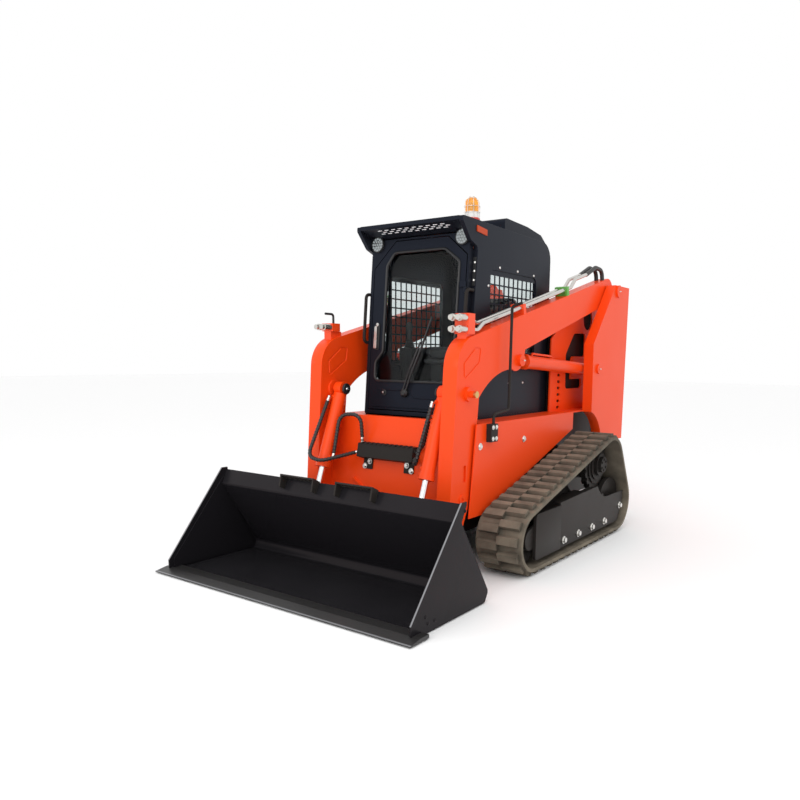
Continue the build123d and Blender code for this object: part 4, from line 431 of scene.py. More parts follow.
def shader(
    name, base, rough, metal=0.0, coat=0.0, grain=None, second=None, glass=0.0, glow=0.0, vary=0.06,
    spec=0.5, painted_groove_shade=0.0, tint=(1.0, 1.0, 1.0),
):
    """Principled material: plain colour, or two colours mixed by the dust-and-sheen mask.

    grain is (scale, depth, blotch); second is (colour, share, mask settings).
    The reach given for ambient occlusion keeps the second colour out of grooves, so they stay darker as
    painted shade; tint colours the gloss."""
    mat = bpy.data.materials.new(name)
    mat.use_nodes = True
    tree = mat.node_tree
    add, link = tree.nodes.new, tree.links.new
    body = tree.nodes["Principled BSDF"]
    fill(body, {"Base Color": (*base, 1), "Roughness": rough, "Metallic": metal})
    fill(body, {"Coat Weight": coat, "Coat Roughness": COAT_ROUGH, "Transmission Weight": glass})
    fill(body, {"Specular IOR Level": spec, "Specular Tint": (*tint, 1)})
    if glow:
        fill(body, {"Emission Color": (*base, 1), "Emission Strength": glow})
    if grain:
        skin = add("ShaderNodeGroup")
        skin.node_tree = bpy.data.node_groups["Loader Grain"]
        fill(skin, dict(zip(("Scale", "Depth", "Blotch"), grain)))
        spread = add("ShaderNodeMapRange")
        fill(spread, {"To Min": max(rough - vary, 0.02), "To Max": min(rough + vary, 1.0)})
        link(skin.outputs["Mask"], spread.inputs["Value"])
        link(spread.outputs["Result"], body.inputs["Roughness"])
        link(skin.outputs["Normal"], body.inputs["Normal"])
    if second:
        tone, amount, settings = second
        mask = add("ShaderNodeGroup")
        mask.node_tree = bpy.data.node_groups["Loader Dust And Sheen"]
        fill(mask, settings)
        scale = add("ShaderNodeMath")
        scale.operation = "MULTIPLY"
        scale.use_clamp = True
        scale.inputs[1].default_value = amount
        link(mask.outputs["Mask"], scale.inputs[0])
        factor = scale.outputs[0]
        # Ambient occlusion holds the second colour back in grooves and hollows, leaving them darker: painted
        # shade.
        if painted_groove_shade:
            shade, deep = add("ShaderNodeAmbientOcclusion"), add("ShaderNodeMath")
            shade.inputs["Distance"].default_value = painted_groove_shade
            deep.operation = "MULTIPLY"
            link(shade.outputs["AO"], deep.inputs[0])
            link(factor, deep.inputs[1])
            factor = deep.outputs[0]
        blend(tree, base, tone, factor)
    return mat


def pane(name, tint):
    """Window glass that lets light through to what lies behind it."""
    mat = shader(name, tint, 0.0, glass=1.0)
    tree = mat.node_tree
    body = tree.nodes["Principled BSDF"]
    body.inputs["IOR"].default_value = PANE_IOR
    kinds = ("BsdfTransparent", "MixShader", "LightPath")
    clear, mix, path = (tree.nodes.new("ShaderNode" + kind) for kind in kinds)
    clear.inputs["Color"].default_value = (*tint, 1)
    tree.links.new(path.outputs["Is Shadow Ray"], mix.inputs["Fac"])
    tree.links.new(body.outputs[0], mix.inputs[1])
    tree.links.new(clear.outputs[0], mix.inputs[2])
    tree.links.new(mix.outputs[0], tree.nodes["Material Output"].inputs["Surface"])
    return mat


def split_material(name, behind, ahead, place, rough, coat=0.0, metal=False):
    """Two colours that change over at a place along Y, the front one bare metal where metal is set."""
    mat = shader(name, behind, rough, coat=coat)
    tree = mat.node_tree
    add, link = tree.nodes.new, tree.links.new
    where, split, test = add("ShaderNodeTexCoord"), add("ShaderNodeSeparateXYZ"), add("ShaderNodeMath")
    test.operation = "LESS_THAN"
    test.inputs[1].default_value = place
    link(where.outputs["Object"], split.inputs[0])
    link(split.outputs["Y"], test.inputs[0])
    blend(tree, behind, ahead, test.outputs[0])
    if metal:
        link(test.outputs[0], tree.nodes["Principled BSDF"].inputs["Metallic"])
    return mat


def make_materials():
    """Every finish by name; those named as record slots dress the CAD nodes of that slot."""
    p = paint()
    grain_group()
    dust_and_sheen_group()
    film = {"Low": 0.0, "High": 1.6, "Up": 0.12, "Scale": 5.0}
    # Lighter grey only on faces that look up, broken by noise: painted sheen where the bucket's top faces
    # catch the light.
    painted_top_sheen = {"Low": -2.0, "High": -1.0, "Up": 0.9, "Scale": 3.0}
    mud = {"Low": 0.0, "High": 2.6, "Up": 0.20, "Scale": 9.0}
    return {
        "orange_paint": shader(
            "orange_paint", p.orange, p.gloss, coat=0.06, grain=(260, 0.025, 3), spec=0.22
        ),
        "cab_black": shader(
            "cab_black", p.cab, 0.33, grain=(520, 0.06, 4), spec=0.15, tint=(0.50, 0.66, 1.0)
        ),
        "frame_black": shader(
            "frame_black",
            p.frame,
            0.42,
            grain=(420, 0.10, 5),
            second=(p.dust, 0.04, film),
            spec=0.12,
            tint=(1.0, 0.84, 0.80),
        ),
        # Bucket: black with painted sheen, lighter grey on faces that look up.
        "bucket_black": shader(
            "bucket_black",
            p.bucket,
            0.24,
            grain=(420, 0.05, 3),
            second=((0.10, 0.10, 0.105), 0.12, painted_top_sheen),
            vary=0.08,
            spec=0.12,
            tint=(1.0, 0.80, 0.78),
        ),
        "edge_steel": shader("edge_steel", (0.02, 0.019, 0.019), 0.36, grain=(420, 0.10, 4)),
        # Track rubber: dust kept out of its grooves by ambient occlusion, so the grooves show painted shade.
        "rubber": shader(
            "rubber",
            p.rubber,
            0.82,
            grain=(230, 0.45, 9),
            second=(p.dust, 1.35, mud),
            spec=0.2,
            painted_groove_shade=0.045,
        ),
        "steel": shader("steel", (0.62, 0.60, 0.57), 0.27, metal=1.0, grain=(300, 0.04, 9)),
        "chrome": shader("chrome", (0.82, 0.82, 0.83), 0.10, metal=1.0),
        "glass": pane("glass", p.glass),
        "seat_vinyl": shader("seat_vinyl", (0.018, 0.018, 0.019), 0.55, grain=(900, 0.35, 8)),
        "plastic": shader("plastic", (0.014, 0.014, 0.015), 0.48, grain=(600, 0.20, 8)),
        "lamp_lens": shader("lamp_lens", (0.05, 0.05, 0.052), 0.35),
        "beacon_amber": shader("beacon_amber", p.amber, 0.12, glass=0.55, glow=0.12),
        "tail_red": shader("tail_red", (0.45, 0.008, 0.008), 0.15, coat=0.6),
        "engine_iron": shader("engine_iron", (0.05, 0.05, 0.052), 0.6, grain=(120, 0.3, 5)),
        "zinc": shader("zinc", (0.74, 0.73, 0.70), 0.30, metal=1.0),
        "brass": shader("brass", (0.66, 0.44, 0.17), 0.28, metal=1.0),
        "hose": shader("hose", (0.017, 0.016, 0.016), 0.45),
        "seal": shader("seal", (0.010, 0.010, 0.011), 0.42),
        "white": shader("white", (0.75, 0.74, 0.72), 0.4),
        "red": shader("red", (0.55, 0.03, 0.02), 0.35),
        "marker": shader("marker", (0.46, 0.050, 0.008), 0.35, spec=0.20),
        "reflector": shader("reflector", (0.24, 0.25, 0.25), 0.30, metal=1.0),
        # Light grey for thin strips on the bucket's edges: a painted highlight.
        "painted_edge_highlight": shader("painted_edge_highlight", (0.20, 0.20, 0.21), 0.35),
        "cells": shader("cells", (0.30, 0.33, 0.34), 0.25),
        "coupler": split_material(
            "coupler", p.orange, (0.64, 0.62, 0.58), COUPLER_SPLIT_Y, 0.30, coat=0.06, metal=True
        ),
        "clamp": split_material("clamp", p.clamp, p.orange, CLAMP_SPLIT_Y, 0.45),
        # Pale glowing colour behind the visor's slots: painted light standing in for the sky seen through
        # them.
        "painted_sky_glow": shader("painted_sky_glow", (0.80, 0.80, 0.82), 0.6, glow=0.25),
    }


MATERIALS = {}
NODE_FINISH = {
    "quick_couplers": "coupler",
    "boom_hoses": "hose",
    "step_cover": "frame_black",
    "boom_pins": "orange_paint",
    "tower_pins": "orange_paint",
    "pipe_clamps": "clamp",
    "hood": "cab_black",
    "bucket_steps": "frame_black",
    "grab_handles": "frame_black",
    "mirror_posts": "frame_black",
}
ROUNDED = ("orange_paint", "cab_black", "frame_black", "bucket_black", "edge_steel", "coupler", "plastic")
ROUND_NODES = {
    "lift_barrels", "tilt_barrels", "boom_pins", "tower_pins", "bucket_pins", "quick_couplers",
    "front_idlers", "rear_idlers", "rollers", "final_drives", "sprockets", "mirror_posts",
    "window_guard_left", "window_guard_right", "grab_handles", "door_hinges",
}


class LOADER_OT_finish(bpy.types.Operator):
    """Give every CAD node its finish and round the edges of the metal parts"""

    bl_idname = "loader.finish"
    bl_label = "Finish CAD nodes"

    def execute(self, context):
        MATERIALS.update(make_materials())
        slots = {s["node"]: s["material_slot"] for s in frame["record"]["subparts"]}
        for name, node in frame["nodes"].items():
            finish = NODE_FINISH.get(name, slots[name])
            node.data.materials.clear()
            node.data.materials.append(MATERIALS[finish])
            merge = node.modifiers.new("Merge", "WELD")
            merge.merge_threshold = WELD_GAP
            if name in ROUND_NODES or finish not in ROUNDED:
                crease = node.modifiers.new("Creases", "EDGE_SPLIT")
                crease.split_angle = math.radians(CREASE_ANGLE)
                continue
            flats = node.modifiers.new("Flats", "DECIMATE")
            flats.decimate_type = "DISSOLVE"
            flats.angle_limit = math.radians(FLAT_ANGLE)
            edge = node.modifiers.new("Edges", "BEVEL")
            edge.width = paint().edge_round
            edge.segments = 2
            edge.limit_method = "ANGLE"
            edge.angle_limit = math.radians(BEVEL_ANGLE)
            edge.harden_normals = True
        return {"FINISHED"}


# Small parts

PANEL_BOLT, STEP_BOLT, POST_BOLT, DRIVE_BOLT, HUB_BOLT = 0.014, 0.012, 0.009, 0.010, 0.008
CAB_SCREW, CHEEK_SCREW, REAR_SCREW = 0.009, 0.010, 0.010


def at_x(x, places):
    """Points (x, y, z) for places (y, z)."""
    return [(x, y, z) for y, z in places]


def rectangle(low, high):
    """Four corners (a, b) of a rectangle in order, from its lowest and highest corner."""
    return (low, (high[0], low[1]), high, (low[0], high[1]))


def ring_places(centre, radius, total, start=0.0):
    """Places (a, b) = centre + radius (cos t, sin t) with t = 2 pi (k + start) / total."""
    t = TAU * (np.arange(total) + start) / total
    return np.stack([centre[0] + radius * np.cos(t), centre[1] + radius * np.sin(t)], 1)


def both_sides(points):
    """Points on the left side and their mirror images, with outward axes."""
    points = np.asarray(points, float)
    outward = np.tile([1.0, 0, 0], (len(points), 1))
    return np.concatenate([points, points * MIRROR]), np.concatenate([outward, outward * MIRROR])


def hex_head(half, high):
    """Profile of a bolt head on its washer."""
    brim, corner = 1.55 * half, 1.12 * half
    washer = [(0, 0), (brim, 0), (brim, 0.22 * half), (1.1 * half, 0.24 * half), (0, 0.24 * half)]
    head = [(0, 0.1 * half), (corner, 0.1 * half), (corner, 0.85 * high), (0.9 * half, high), (0, high)]
    return washer, head


def bolts(name, at, axis, half, body, finish="zinc", high=None):
    """Hexagonal bolt heads on round washers."""
    washer, head = hex_head(half, high or 0.8 * half)
    return piece(name, [lathe(washer, at, axis, 20), lathe(head, at, axis, 6)], finish, body, flat=30)


def screws(name, at, axis, half, body, finish="zinc"):
    """Button-head screws: a quarter ellipse turned about the axis."""
    t = np.linspace(0, math.pi / 2, 6)
    head = [(0, 0), *zip(half * np.cos(t), 0.6 * half * np.sin(t))]
    return piece(name, lathe(head, at, axis, 14), finish, body)


def places_of(mesh):
    """Coordinates of a mesh's vertices in one row."""
    row = np.empty(3 * len(mesh.vertices))
    mesh.vertices.foreach_get("co", row)
    return row


def corners_of(name):
    """Vertices of a CAD node's mesh as rows."""
    return places_of(frame["nodes"][name].data).reshape(-1, 3)


def cross_y(z):
    """Front face of the cross plate at a height, from the CAD node's own corners."""
    low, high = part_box("crossmember")
    verts = corners_of("crossmember")
    top = verts[verts[:, 2] > high.z - 0.001, 1].min()
    wide = verts[np.abs(verts[:, 0]) > high.x - 0.01]
    foot = wide[wide[:, 2] < low.z + 0.001, 1].min()
    return top + (foot - top) * (high.z - np.asarray(z)) / (high.z - low.z)


def cross_normal():
    """Outward normal of the cross plate's front face."""
    low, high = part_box("crossmember")
    run = float(cross_y(high.z) - cross_y(low.z))
    return (0.0, -(high.z - low.z), run)


COVER_STEP = 0.008
ROLLER_BOLTS = ((0.100, 0.128), (0.335, 0.128), (0.571, 0.128), (0.803, 0.128), (1.105, 0.200))
PANEL_BOLTS = ((-0.51, 0.793), (0.046, 0.792))
CAB_SCREWS = (
    (-0.005, 1.905), (0.235, 1.905), (0.470, 1.900), (0.150, 1.155),
    (0.350, 1.155), (-0.145, 1.78), (0.545, 1.70),
)
STEP_BOLTS = np.array([(-0.190, 0.618), (-0.152, 0.650), (0.152, 0.650), (0.190, 0.618)])
STEP_FOOT = 0.0105
STUD = ((0, 0), (0.0130, 0), (0.0115, 0.0065), (0.0080, 0.0070), (0.0070, 0.0015), (0, 0.0010))
STUD_COLUMNS = np.linspace(-0.190, 0.190, 11)
STUD_ROWS = (0.018, 0.042)
CHEEK_SCREWS = ((-1.50, 0.052), (-1.445, 0.052), (-1.52, 0.090), (-1.185, 0.555))
CHEEK_CROWN, CHEEK_NOSE = (-1.214, 0.601), (-1.636, 0.076)
CHEEK_INNER, CHEEK_OUTER = 0.0095, 0.0005
LIP_FRONT, LIP_BACK, LIP_NORMAL = (-1.6995, 0.0122), (-1.6900, 0.0139), (0, -0.18, 0.98)
POST_BOLTS = ((-0.42, 0.835), (-0.38, 0.835), (-0.42, 0.905), (-0.38, 0.905))
POST_FACE = 0.0365
DRIVE_X, DRIVE_PLACE = 0.795, (0.847, 0.545)
DRIVE_RING, HUB_RING = 0.132, 0.040


class LOADER_OT_bolts(bpy.types.Operator):
    """Add bolts, screws and studs, and painted highlights along the bucket's edges"""

    bl_idname = "loader.bolts"
    bl_label = "Bolts"

    def execute(self, context):
        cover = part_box("track_frame_left")[1].x - COVER_STEP
        at, axis = both_sides(at_x(cover, ROLLER_BOLTS))
        bolts("roller_bolts", at, axis, parts().roller_bolt, "chassis", high=0.020)
        at, axis = both_sides(at_x(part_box("side_panel_left")[1].x, PANEL_BOLTS))
        bolts("panel_bolts", at, axis, PANEL_BOLT, "chassis", high=0.012)
        at, axis = both_sides(at_x(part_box("cab_side_left")[1].x, CAB_SCREWS))
        screws("cab_screws", at, axis, CAB_SCREW, "chassis")
        self.step()
        self.bucket()
        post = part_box("mirror_posts")[0].x + POST_FACE
        bolts("post_bolts", at_x(post, POST_BOLTS), OUT, POST_BOLT, "chassis")
        at, axis = both_sides(at_x(DRIVE_X, ring_places(DRIVE_PLACE, DRIVE_RING, 10)))
        bolts("drive_bolts", at, axis, DRIVE_BOLT, "chassis")
        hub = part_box("final_drives")[1].x
        at, axis = both_sides(at_x(hub, ring_places(DRIVE_PLACE, HUB_RING, 6, 0.5)))
        bolts("hub_bolts", at, axis, HUB_BOLT, "chassis", "frame_black")
        return {"FINISHED"}

    def step(self):
        """Bolts at the foot of the step cover, and the studs on its top."""
        x, z = STEP_BOLTS.T
        feet = np.stack([x, cross_y(z) - STEP_FOOT, z], 1)
        bolts("step_bolts", feet, unit(cross_normal()), STEP_BOLT, "boom", high=0.012)
        low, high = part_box("step_cover")
        x, y = np.meshgrid(STUD_COLUMNS, low.y + np.array(STUD_ROWS))
        at = np.stack([x.ravel(), y.ravel(), np.full(x.size, high.z)], 1)
        piece("step_studs", lathe(STUD, at, UP, 14), "frame_black", "boom")

    def bucket(self):
        """Screws of the bucket's cheeks, and grey strips along the cheeks and the cutting edge, painted
        highlights where those edges catch the light.
        """
        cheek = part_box("bucket_shell")[1].x
        at, axis = both_sides(at_x(cheek, CHEEK_SCREWS))
        screws("cheek_bolts", at, axis, CHEEK_SCREW, "bucket", "bucket_black")
        # Thin grey strips along the cheeks' front edges and the cutting edge: painted highlights where the
        # edges catch light.
        rim = at_x(cheek - CHEEK_INNER, (CHEEK_CROWN, CHEEK_NOSE))
        rim[1:1] = at_x(cheek - CHEEK_OUTER, (CHEEK_CROWN, CHEEK_NOSE))
        way = (0, CHEEK_NOSE[1] - CHEEK_CROWN[1], CHEEK_CROWN[0] - CHEEK_NOSE[0])
        piece("cheek_edge_highlight", mirrored(slab(rim, way, 0.0006)), "painted_edge_highlight", "bucket")
        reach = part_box("cutting_edge")[1].x - 0.001
        lip = at_x(-reach, (LIP_FRONT, LIP_BACK))
        lip[1:1] = at_x(reach, (LIP_FRONT, LIP_BACK))
        piece("lip_edge_highlight", slab(lip, LIP_NORMAL, 0.0005), "painted_edge_highlight", "bucket")


LENS_FOOT, LENS_WALL, LENS_STEPS, LENS_WAVE = 0.0634, 0.62, 14, 0.035
BAND_FOOT, BULB_FOOT = 0.0262, 0.066
CAGE_WIRE = 0.0016


class LOADER_OT_beacon(bpy.types.Operator):
    """Replace the beacon by foot, band, ribbed lens, bulb and wire cage"""

    bl_idname = "loader.beacon"
    bl_label = "Beacon"

    def execute(self, context):
        low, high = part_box("beacon")
        middle = np.array([(low.x + high.x) / 2, (low.y + high.y) / 2, low.z])
        r = (high.x - low.x) / 2
        top = high.z - low.z - 0.006
        base = [(0, 0), (r, 0), (r, 0.020), (0.94 * r, 0.026), (0, 0.026)]
        foot = piece("beacon_foot", lathe(base, middle, UP, 40), "red", "chassis")
        band = [(0, 0), (0.88 * r, 0), (0.88 * r, 0.034), (0.84 * r, 0.037), (0, 0.037)]
        piece("beacon_band", lathe(band, middle + [0, 0, BAND_FOOT], UP, 40), "white", "chassis")
        sides = parts().lens_ribs * 4
        angle = TAU * np.arange(sides) / sides
        ring = np.stack([np.cos(angle), np.sin(angle), np.zeros(sides)], 1)
        self.lens(middle, r, top, ring, angle)
        bulb = [(0, 0), (0.3 * r, 0), (0.34 * r, 0.03), (0.26 * r, 0.052), (0, 0.056)]
        piece("beacon_bulb", lathe(bulb, middle + [0, 0, BULB_FOOT], UP, 20), "reflector", "chassis")
        self.cage(middle, r, top, ring)
        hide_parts("beacon")
        return {"FINISHED"}

    def lens(self, middle, r, top, ring, angle):
        """Wall below a dome: P(i, j) = m + b_i (1 - w (1 + cos n t_j) / 2) (cos t_j, sin t_j, 0) + h_i up."""
        dome = np.linspace(0, math.pi / 2, 9)[1:]
        wall = np.linspace(0, LENS_WALL, LENS_STEPS)
        rise = np.concatenate([wall, LENS_WALL + (1 - LENS_WALL) * np.sin(dome)])
        rise = LENS_FOOT + (top - LENS_FOOT) * rise
        body = 0.80 * r * np.concatenate([np.ones(LENS_STEPS), np.cos(dome)])
        wave = 1 - LENS_WAVE * (0.5 + 0.5 * np.cos(parts().lens_ribs * angle))
        grid = middle + (body[:, None] * wave)[..., None] * ring + rise[:, None, None] * np.array(UP)
        floor = grid[:1].copy()
        floor[..., :2] = middle[:2]
        grid = np.concatenate([floor, grid])
        lens = (grid.reshape(-1, 3), quads(*grid.shape[:2], close_v=True)[:, ::-1])
        piece("beacon_lens", lens, "beacon_amber", "chassis")

    def cage(self, middle, r, top, ring):
        """Upright wires and three rings round the lens."""
        line = [(0.96 * r, 0.02), (0.97 * r, 0.095), (0.80 * r, 0.138), (0.30 * r, top + 0.003)]
        wires = []
        for x, y in ring_places((0, 0), 1.0, parts().cage_wires):
            points = [middle + [x * out, y * out, rise] for out, rise in line]
            wires.append(tube(rounded(points, 0.03, 0.008), CAGE_WIRE, 6))
        for out, rise in ((0.97 * r, 0.060), (0.97 * r, 0.095), (0.30 * r, top + 0.003)):
            wires.append(tube(ring * out + middle + [0, 0, rise], CAGE_WIRE, 6, closed=True))
        piece("beacon_cage", wires, "zinc", "chassis")


# Cab front

LEAN = math.radians(5.2)
CAB_FOOT = (-0.425, 0.940)
SIDE_SETBACK = 0.05


def front_point(x, up, out=0.0):
    """Point on the leaning cab front: x across, up the lean from its foot, out along the normal."""
    y = CAB_FOOT[0] + up * math.sin(LEAN) - out * math.cos(LEAN)
    z = CAB_FOOT[1] + up * math.cos(LEAN) + out * math.sin(LEAN)
    return np.array([x, y, z])


FRONT_NORMAL = front_point(0, 0, 1) - front_point(0, 0, 0)


def on_front(places, out=0.0):
    """Points of the cab front for places (x, up), all the same way out."""
    return np.array([front_point(x, up, out) for x, up in places])


def closed_path(points, radius, step):
    """Closed polyline with rounded corners, started in the middle of its first side."""
    points = np.asarray(points, float)
    middle = (points[0] + points[1]) / 2
    line = rounded(np.concatenate([[middle], points[1:], points[:1], [middle]]), radius, step)
    return line[:-1]


def lamp_faces():
    """Centre of each work lamp's front face, from the CAD node's vertices."""
    verts = corners_of("work_lamps")
    found = []
    for side in (-1, 1):
        mine = verts[verts[:, 0] * side > 0]
        reach = mine @ FRONT_NORMAL
        face = mine[reach > reach.max() - 0.0005]
        found.append((face.min(0) + face.max(0)) / 2)
    return np.array(found)


LAMP_RIM = ((0, 0.0002), (0.0490, 0.0002), (0.0498, 0.004), (0.0470, 0.0045), (0.0455, 0.0006), (0, 0.0006))
LAMP_PLATE = ((0, 0.0007), (0.0454, 0.0007), (0.0454, 0.0012), (0, 0.0012))
LAMP_CELL = ((0, 0.0011), (0.0086, 0.0011), (0.0076, 0.0034), (0.0046, 0.0052), (0, 0.0058))
CELL_RINGS = (0.0365, 0.0205)
MARKER = ((-0.297, 2.128), (-0.180, 2.116), (-0.180, 2.080), (-0.297, 2.092))
RIB_COUNT, RIB_INSET, RIB_INNER, RIB_RADIUS = 9, 0.012, 0.322, 0.0022


class LOADER_OT_lamps(bpy.types.Operator):
    """Add rims, plates and cells to the work lamps, the side markers and the tail lamps' ribs"""

    bl_idname = "loader.lamps"
    bl_label = "Lamps"

    def execute(self, context):
        at = lamp_faces()
        piece("lamp_rims", lathe(LAMP_RIM, at, FRONT_NORMAL, 40), "plastic", "chassis")
        piece("lamp_plates", lathe(LAMP_PLATE, at, FRONT_NORMAL, 40), "reflector", "chassis")
        count = parts().lamp_cells
        rings = [ring_places((0, 0), r, n) for r, n in zip(CELL_RINGS, (count, count // 2))]
        spots = np.concatenate([*rings, [(0, 0)]]) @ np.array(across(FRONT_NORMAL))
        cells = (at[:, None] + spots[None]).reshape(-1, 3)
        piece("lamp_cells", lathe(LAMP_CELL, cells, FRONT_NORMAL, 12), "cells", "chassis")
        marker = slab(at_x(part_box("cab_side_left")[1].x, MARKER), OUT, 0.006)
        piece("side_markers", mirrored(marker), "marker", "chassis")
        low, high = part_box("tail_lamps")
        ribs = []
        for side in (-1, 1):
            for z in np.linspace(low.z + RIB_INSET, high.z - RIB_INSET, RIB_COUNT):
                line = [(side * x, high.y + 0.0006, z) for x in (RIB_INNER, high.x - 0.006)]
                ribs.append(tube(rounded(line, 0.01, 0.02), RIB_RADIUS, 8))
        piece("tail_ribs", ribs, "tail_red", "engine_door")
        return {"FINISHED"}


DOOR_LEFT, DOOR_RIGHT, DOOR_TOP = 0.375, -0.360, 1.138
PANE_LINE = (
    (DOOR_RIGHT + 0.045, 0.225),
    (DOOR_LEFT - 0.050, 0.225),
    (DOOR_LEFT - 0.050, DOOR_TOP - 0.155),
    (DOOR_LEFT - 0.165, DOOR_TOP - 0.072),
    (DOOR_RIGHT + 0.165, DOOR_TOP - 0.072),
    (DOOR_RIGHT + 0.105, DOOR_TOP - 0.155),
    (DOOR_RIGHT + 0.105, 0.420),
    (DOOR_RIGHT + 0.045, 0.350),
)
PRESS_LINE = ((-0.275, 0.165), (-0.02, 0.165), (0.02, 0.118), (0.30, 0.118))
FOOT_LINE = ((-0.335, 0.052), (0.335, 0.052))
PRESS_RADIUS = 0.004
WIPER_ARM = ((-0.045, 0.150, 0.020), (0.010, 0.290, 0.030), (0.085, 0.480, 0.024))
WIPER_GAP = 0.012
WIPER_BLADE, BLADE_RADIUS = ((0.035, 0.330, 0.0165), (0.150, 0.640, 0.0165)), 0.0075
WIPER_CAP = ((0, 0), (0.030, 0), (0.028, 0.018), (0.016, 0.030), (0, 0.032))
LOCK_PLACE = (-0.225, 0.148)
LOCK_KNOB = ((0, 0), (0.020, 0), (0.020, 0.004), (0.009, 0.005), (0.009, 0.013), (0, 0.015))
LOCK_CORE = ((0, 0.0150), (0.006, 0.0150), (0.006, 0.017), (0, 0.018))
HANDLE_X = DOOR_RIGHT + 0.052
HANDLE_PLATE = rectangle((HANDLE_X - 0.020, 0.432), (HANDLE_X + 0.020, 0.610))
HANDLE_GRIP = (
    (HANDLE_X - 0.013, 0.440), (HANDLE_X + 0.013, 0.440),
    (HANDLE_X + 0.010, 0.588), (HANDLE_X - 0.010, 0.588),
)
HANDLE_BUTTON, BUTTON_UP = ((0, 0.004), (0.011, 0.004), (0.011, 0.010), (0, 0.012)), 0.600
HINGE_BACK = -SIDE_SETBACK * math.cos(LEAN) + 0.0004
HINGE_STRIP, STRIP_THICK = rectangle((0.394, 0.835), (0.416, 1.010)), 0.005
HINGE_SCREWS = ((0.405, 0.868), (0.405, 0.924), (0.405, 0.977))
RETURN_X = 0.3902
RETURN_EDGE = rectangle((0.010, -0.002), (1.060, HINGE_BACK - 0.004))


class LOADER_OT_door(bpy.types.Operator):
    """Add the cab door's seal, lines, wiper, lock and handle, and the hinge strip and corners beside it"""

    bl_idname = "loader.door"
    bl_label = "Cab door"

    def execute(self, context):
        seal = tube(closed_path(on_front(PANE_LINE, 0.001), 0.040, 0.012), parts().seal, 10, closed=True)
        piece("door_seal", seal, "seal", "cab_door")
        press = tube(rounded(on_front(PRESS_LINE), 0.03, 0.010), PRESS_RADIUS, 8)
        piece("door_line", press, "cab_black", "cab_door")
        foot = tube(rounded(on_front(FOOT_LINE), 0.03, 0.05), PRESS_RADIUS, 8)
        piece("door_foot_line", foot, "cab_black", "cab_door")
        self.wiper()
        self.handle()
        strip = slab(on_front(HINGE_STRIP, HINGE_BACK), FRONT_NORMAL, STRIP_THICK)
        piece("hinge_strip", strip, "seal", "chassis")
        at = on_front(HINGE_SCREWS, HINGE_BACK + STRIP_THICK)
        screws("hinge_screws", at, FRONT_NORMAL, CAB_SCREW, "chassis")
        plate = slab([front_point(RETURN_X, up, out) for up, out in RETURN_EDGE], OUT, 0.002)
        piece("corner_returns", mirrored(plate), "cab_black", "chassis")
        return {"FINISHED"}

    def wiper(self):
        """Two thin arms side by side, the blade and the cap at their foot."""
        arms = []
        for shift in (-WIPER_GAP, WIPER_GAP):
            points = [front_point(x + shift, up, out) for x, up, out in WIPER_ARM]
            arms.append(tube(rounded(points, 0.1, 0.012), parts().wiper, 8))
        blade = [front_point(*point) for point in WIPER_BLADE]
        arms.append(tube(rounded(blade, 0.1, 0.02), BLADE_RADIUS, 8))
        arms.append(lathe(WIPER_CAP, front_point(*WIPER_ARM[0][:2]), FRONT_NORMAL, 24))
        piece("wiper", arms, "seal", "cab_door")

    def handle(self):
        """Lock with its core, and the handle's plate, grip and button."""
        lock = front_point(*LOCK_PLACE)
        piece("door_lock", lathe(LOCK_KNOB, lock, FRONT_NORMAL, 24), "seal", "cab_door")
        piece("door_lock_core", lathe(LOCK_CORE, lock, FRONT_NORMAL, 16), "zinc", "cab_door")
        plate = slab(closed_path(on_front(HANDLE_PLATE, 0.0003), 0.016, 0.008), FRONT_NORMAL, 0.006)
        handle = piece("door_handle_plate", plate, "seal", "cab_door")
        grip = slab(closed_path(on_front(HANDLE_GRIP, 0.006), 0.009, 0.003), FRONT_NORMAL, 0.020)
        piece("door_grip", grip, "steel", "cab_door")
        button = lathe(HANDLE_BUTTON, front_point(HANDLE_X, BUTTON_UP), FRONT_NORMAL, 20)
        piece("door_button", button, "steel", "cab_door")
        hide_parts("door_handle")


VISOR_TOP, VISOR_FOOT = np.array([0, -0.450, 2.141]), np.array([0, -0.329, 2.098])
SLOT_ROWS, SLOT_COLUMNS = 3, 10
SLOT_PITCH, ROW_PITCH = 0.055, 0.020
SLOT_DEPTH, SLOT_THICK = 0.0016, 0.0010
SLOT = rectangle((-0.0158, -0.0043), (0.0158, 0.0043))


class LOADER_OT_windows(bpy.types.Operator):
    """Add the rear window's rubber seal and glowing pale patches behind the visor's slots, painted light
    standing in for the sky seen through them
    """

    bl_idname = "loader.windows"
    bl_label = "Window seals"

    def execute(self, context):
        low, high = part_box("rear_glass")
        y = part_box("cab_rear")[1].y
        corners = [(x, y, z) for x, z in rectangle((low.x, low.z), (high.x, high.z))]
        seal = tube(closed_path(corners, 0.05, 0.02), 0.009, 10, closed=True)
        piece("rear_seal", seal, "seal", "chassis")
        # Glowing patches just behind the visor's slots: painted light in place of the sky seen through them.
        slope = unit(VISOR_FOOT - VISOR_TOP)
        outward = np.cross(slope, [1.0, 0, 0])
        lights = []
        for row in range(SLOT_ROWS):
            middle = VISOR_TOP + slope * ROW_PITCH * (row + 1.5) - outward * SLOT_DEPTH
            for x in SLOT_PITCH * (np.arange(SLOT_COLUMNS) - (SLOT_COLUMNS - 1) / 2 + 0.5 * (row % 2)):
                edge = [middle + [x + a, 0, 0] + slope * b for a, b in SLOT]
                lights.append(slab(edge, outward, SLOT_THICK))
        piece("visor_slot_glow", lights, "painted_sky_glow", "chassis")
        return {"FINISHED"}


# Boom

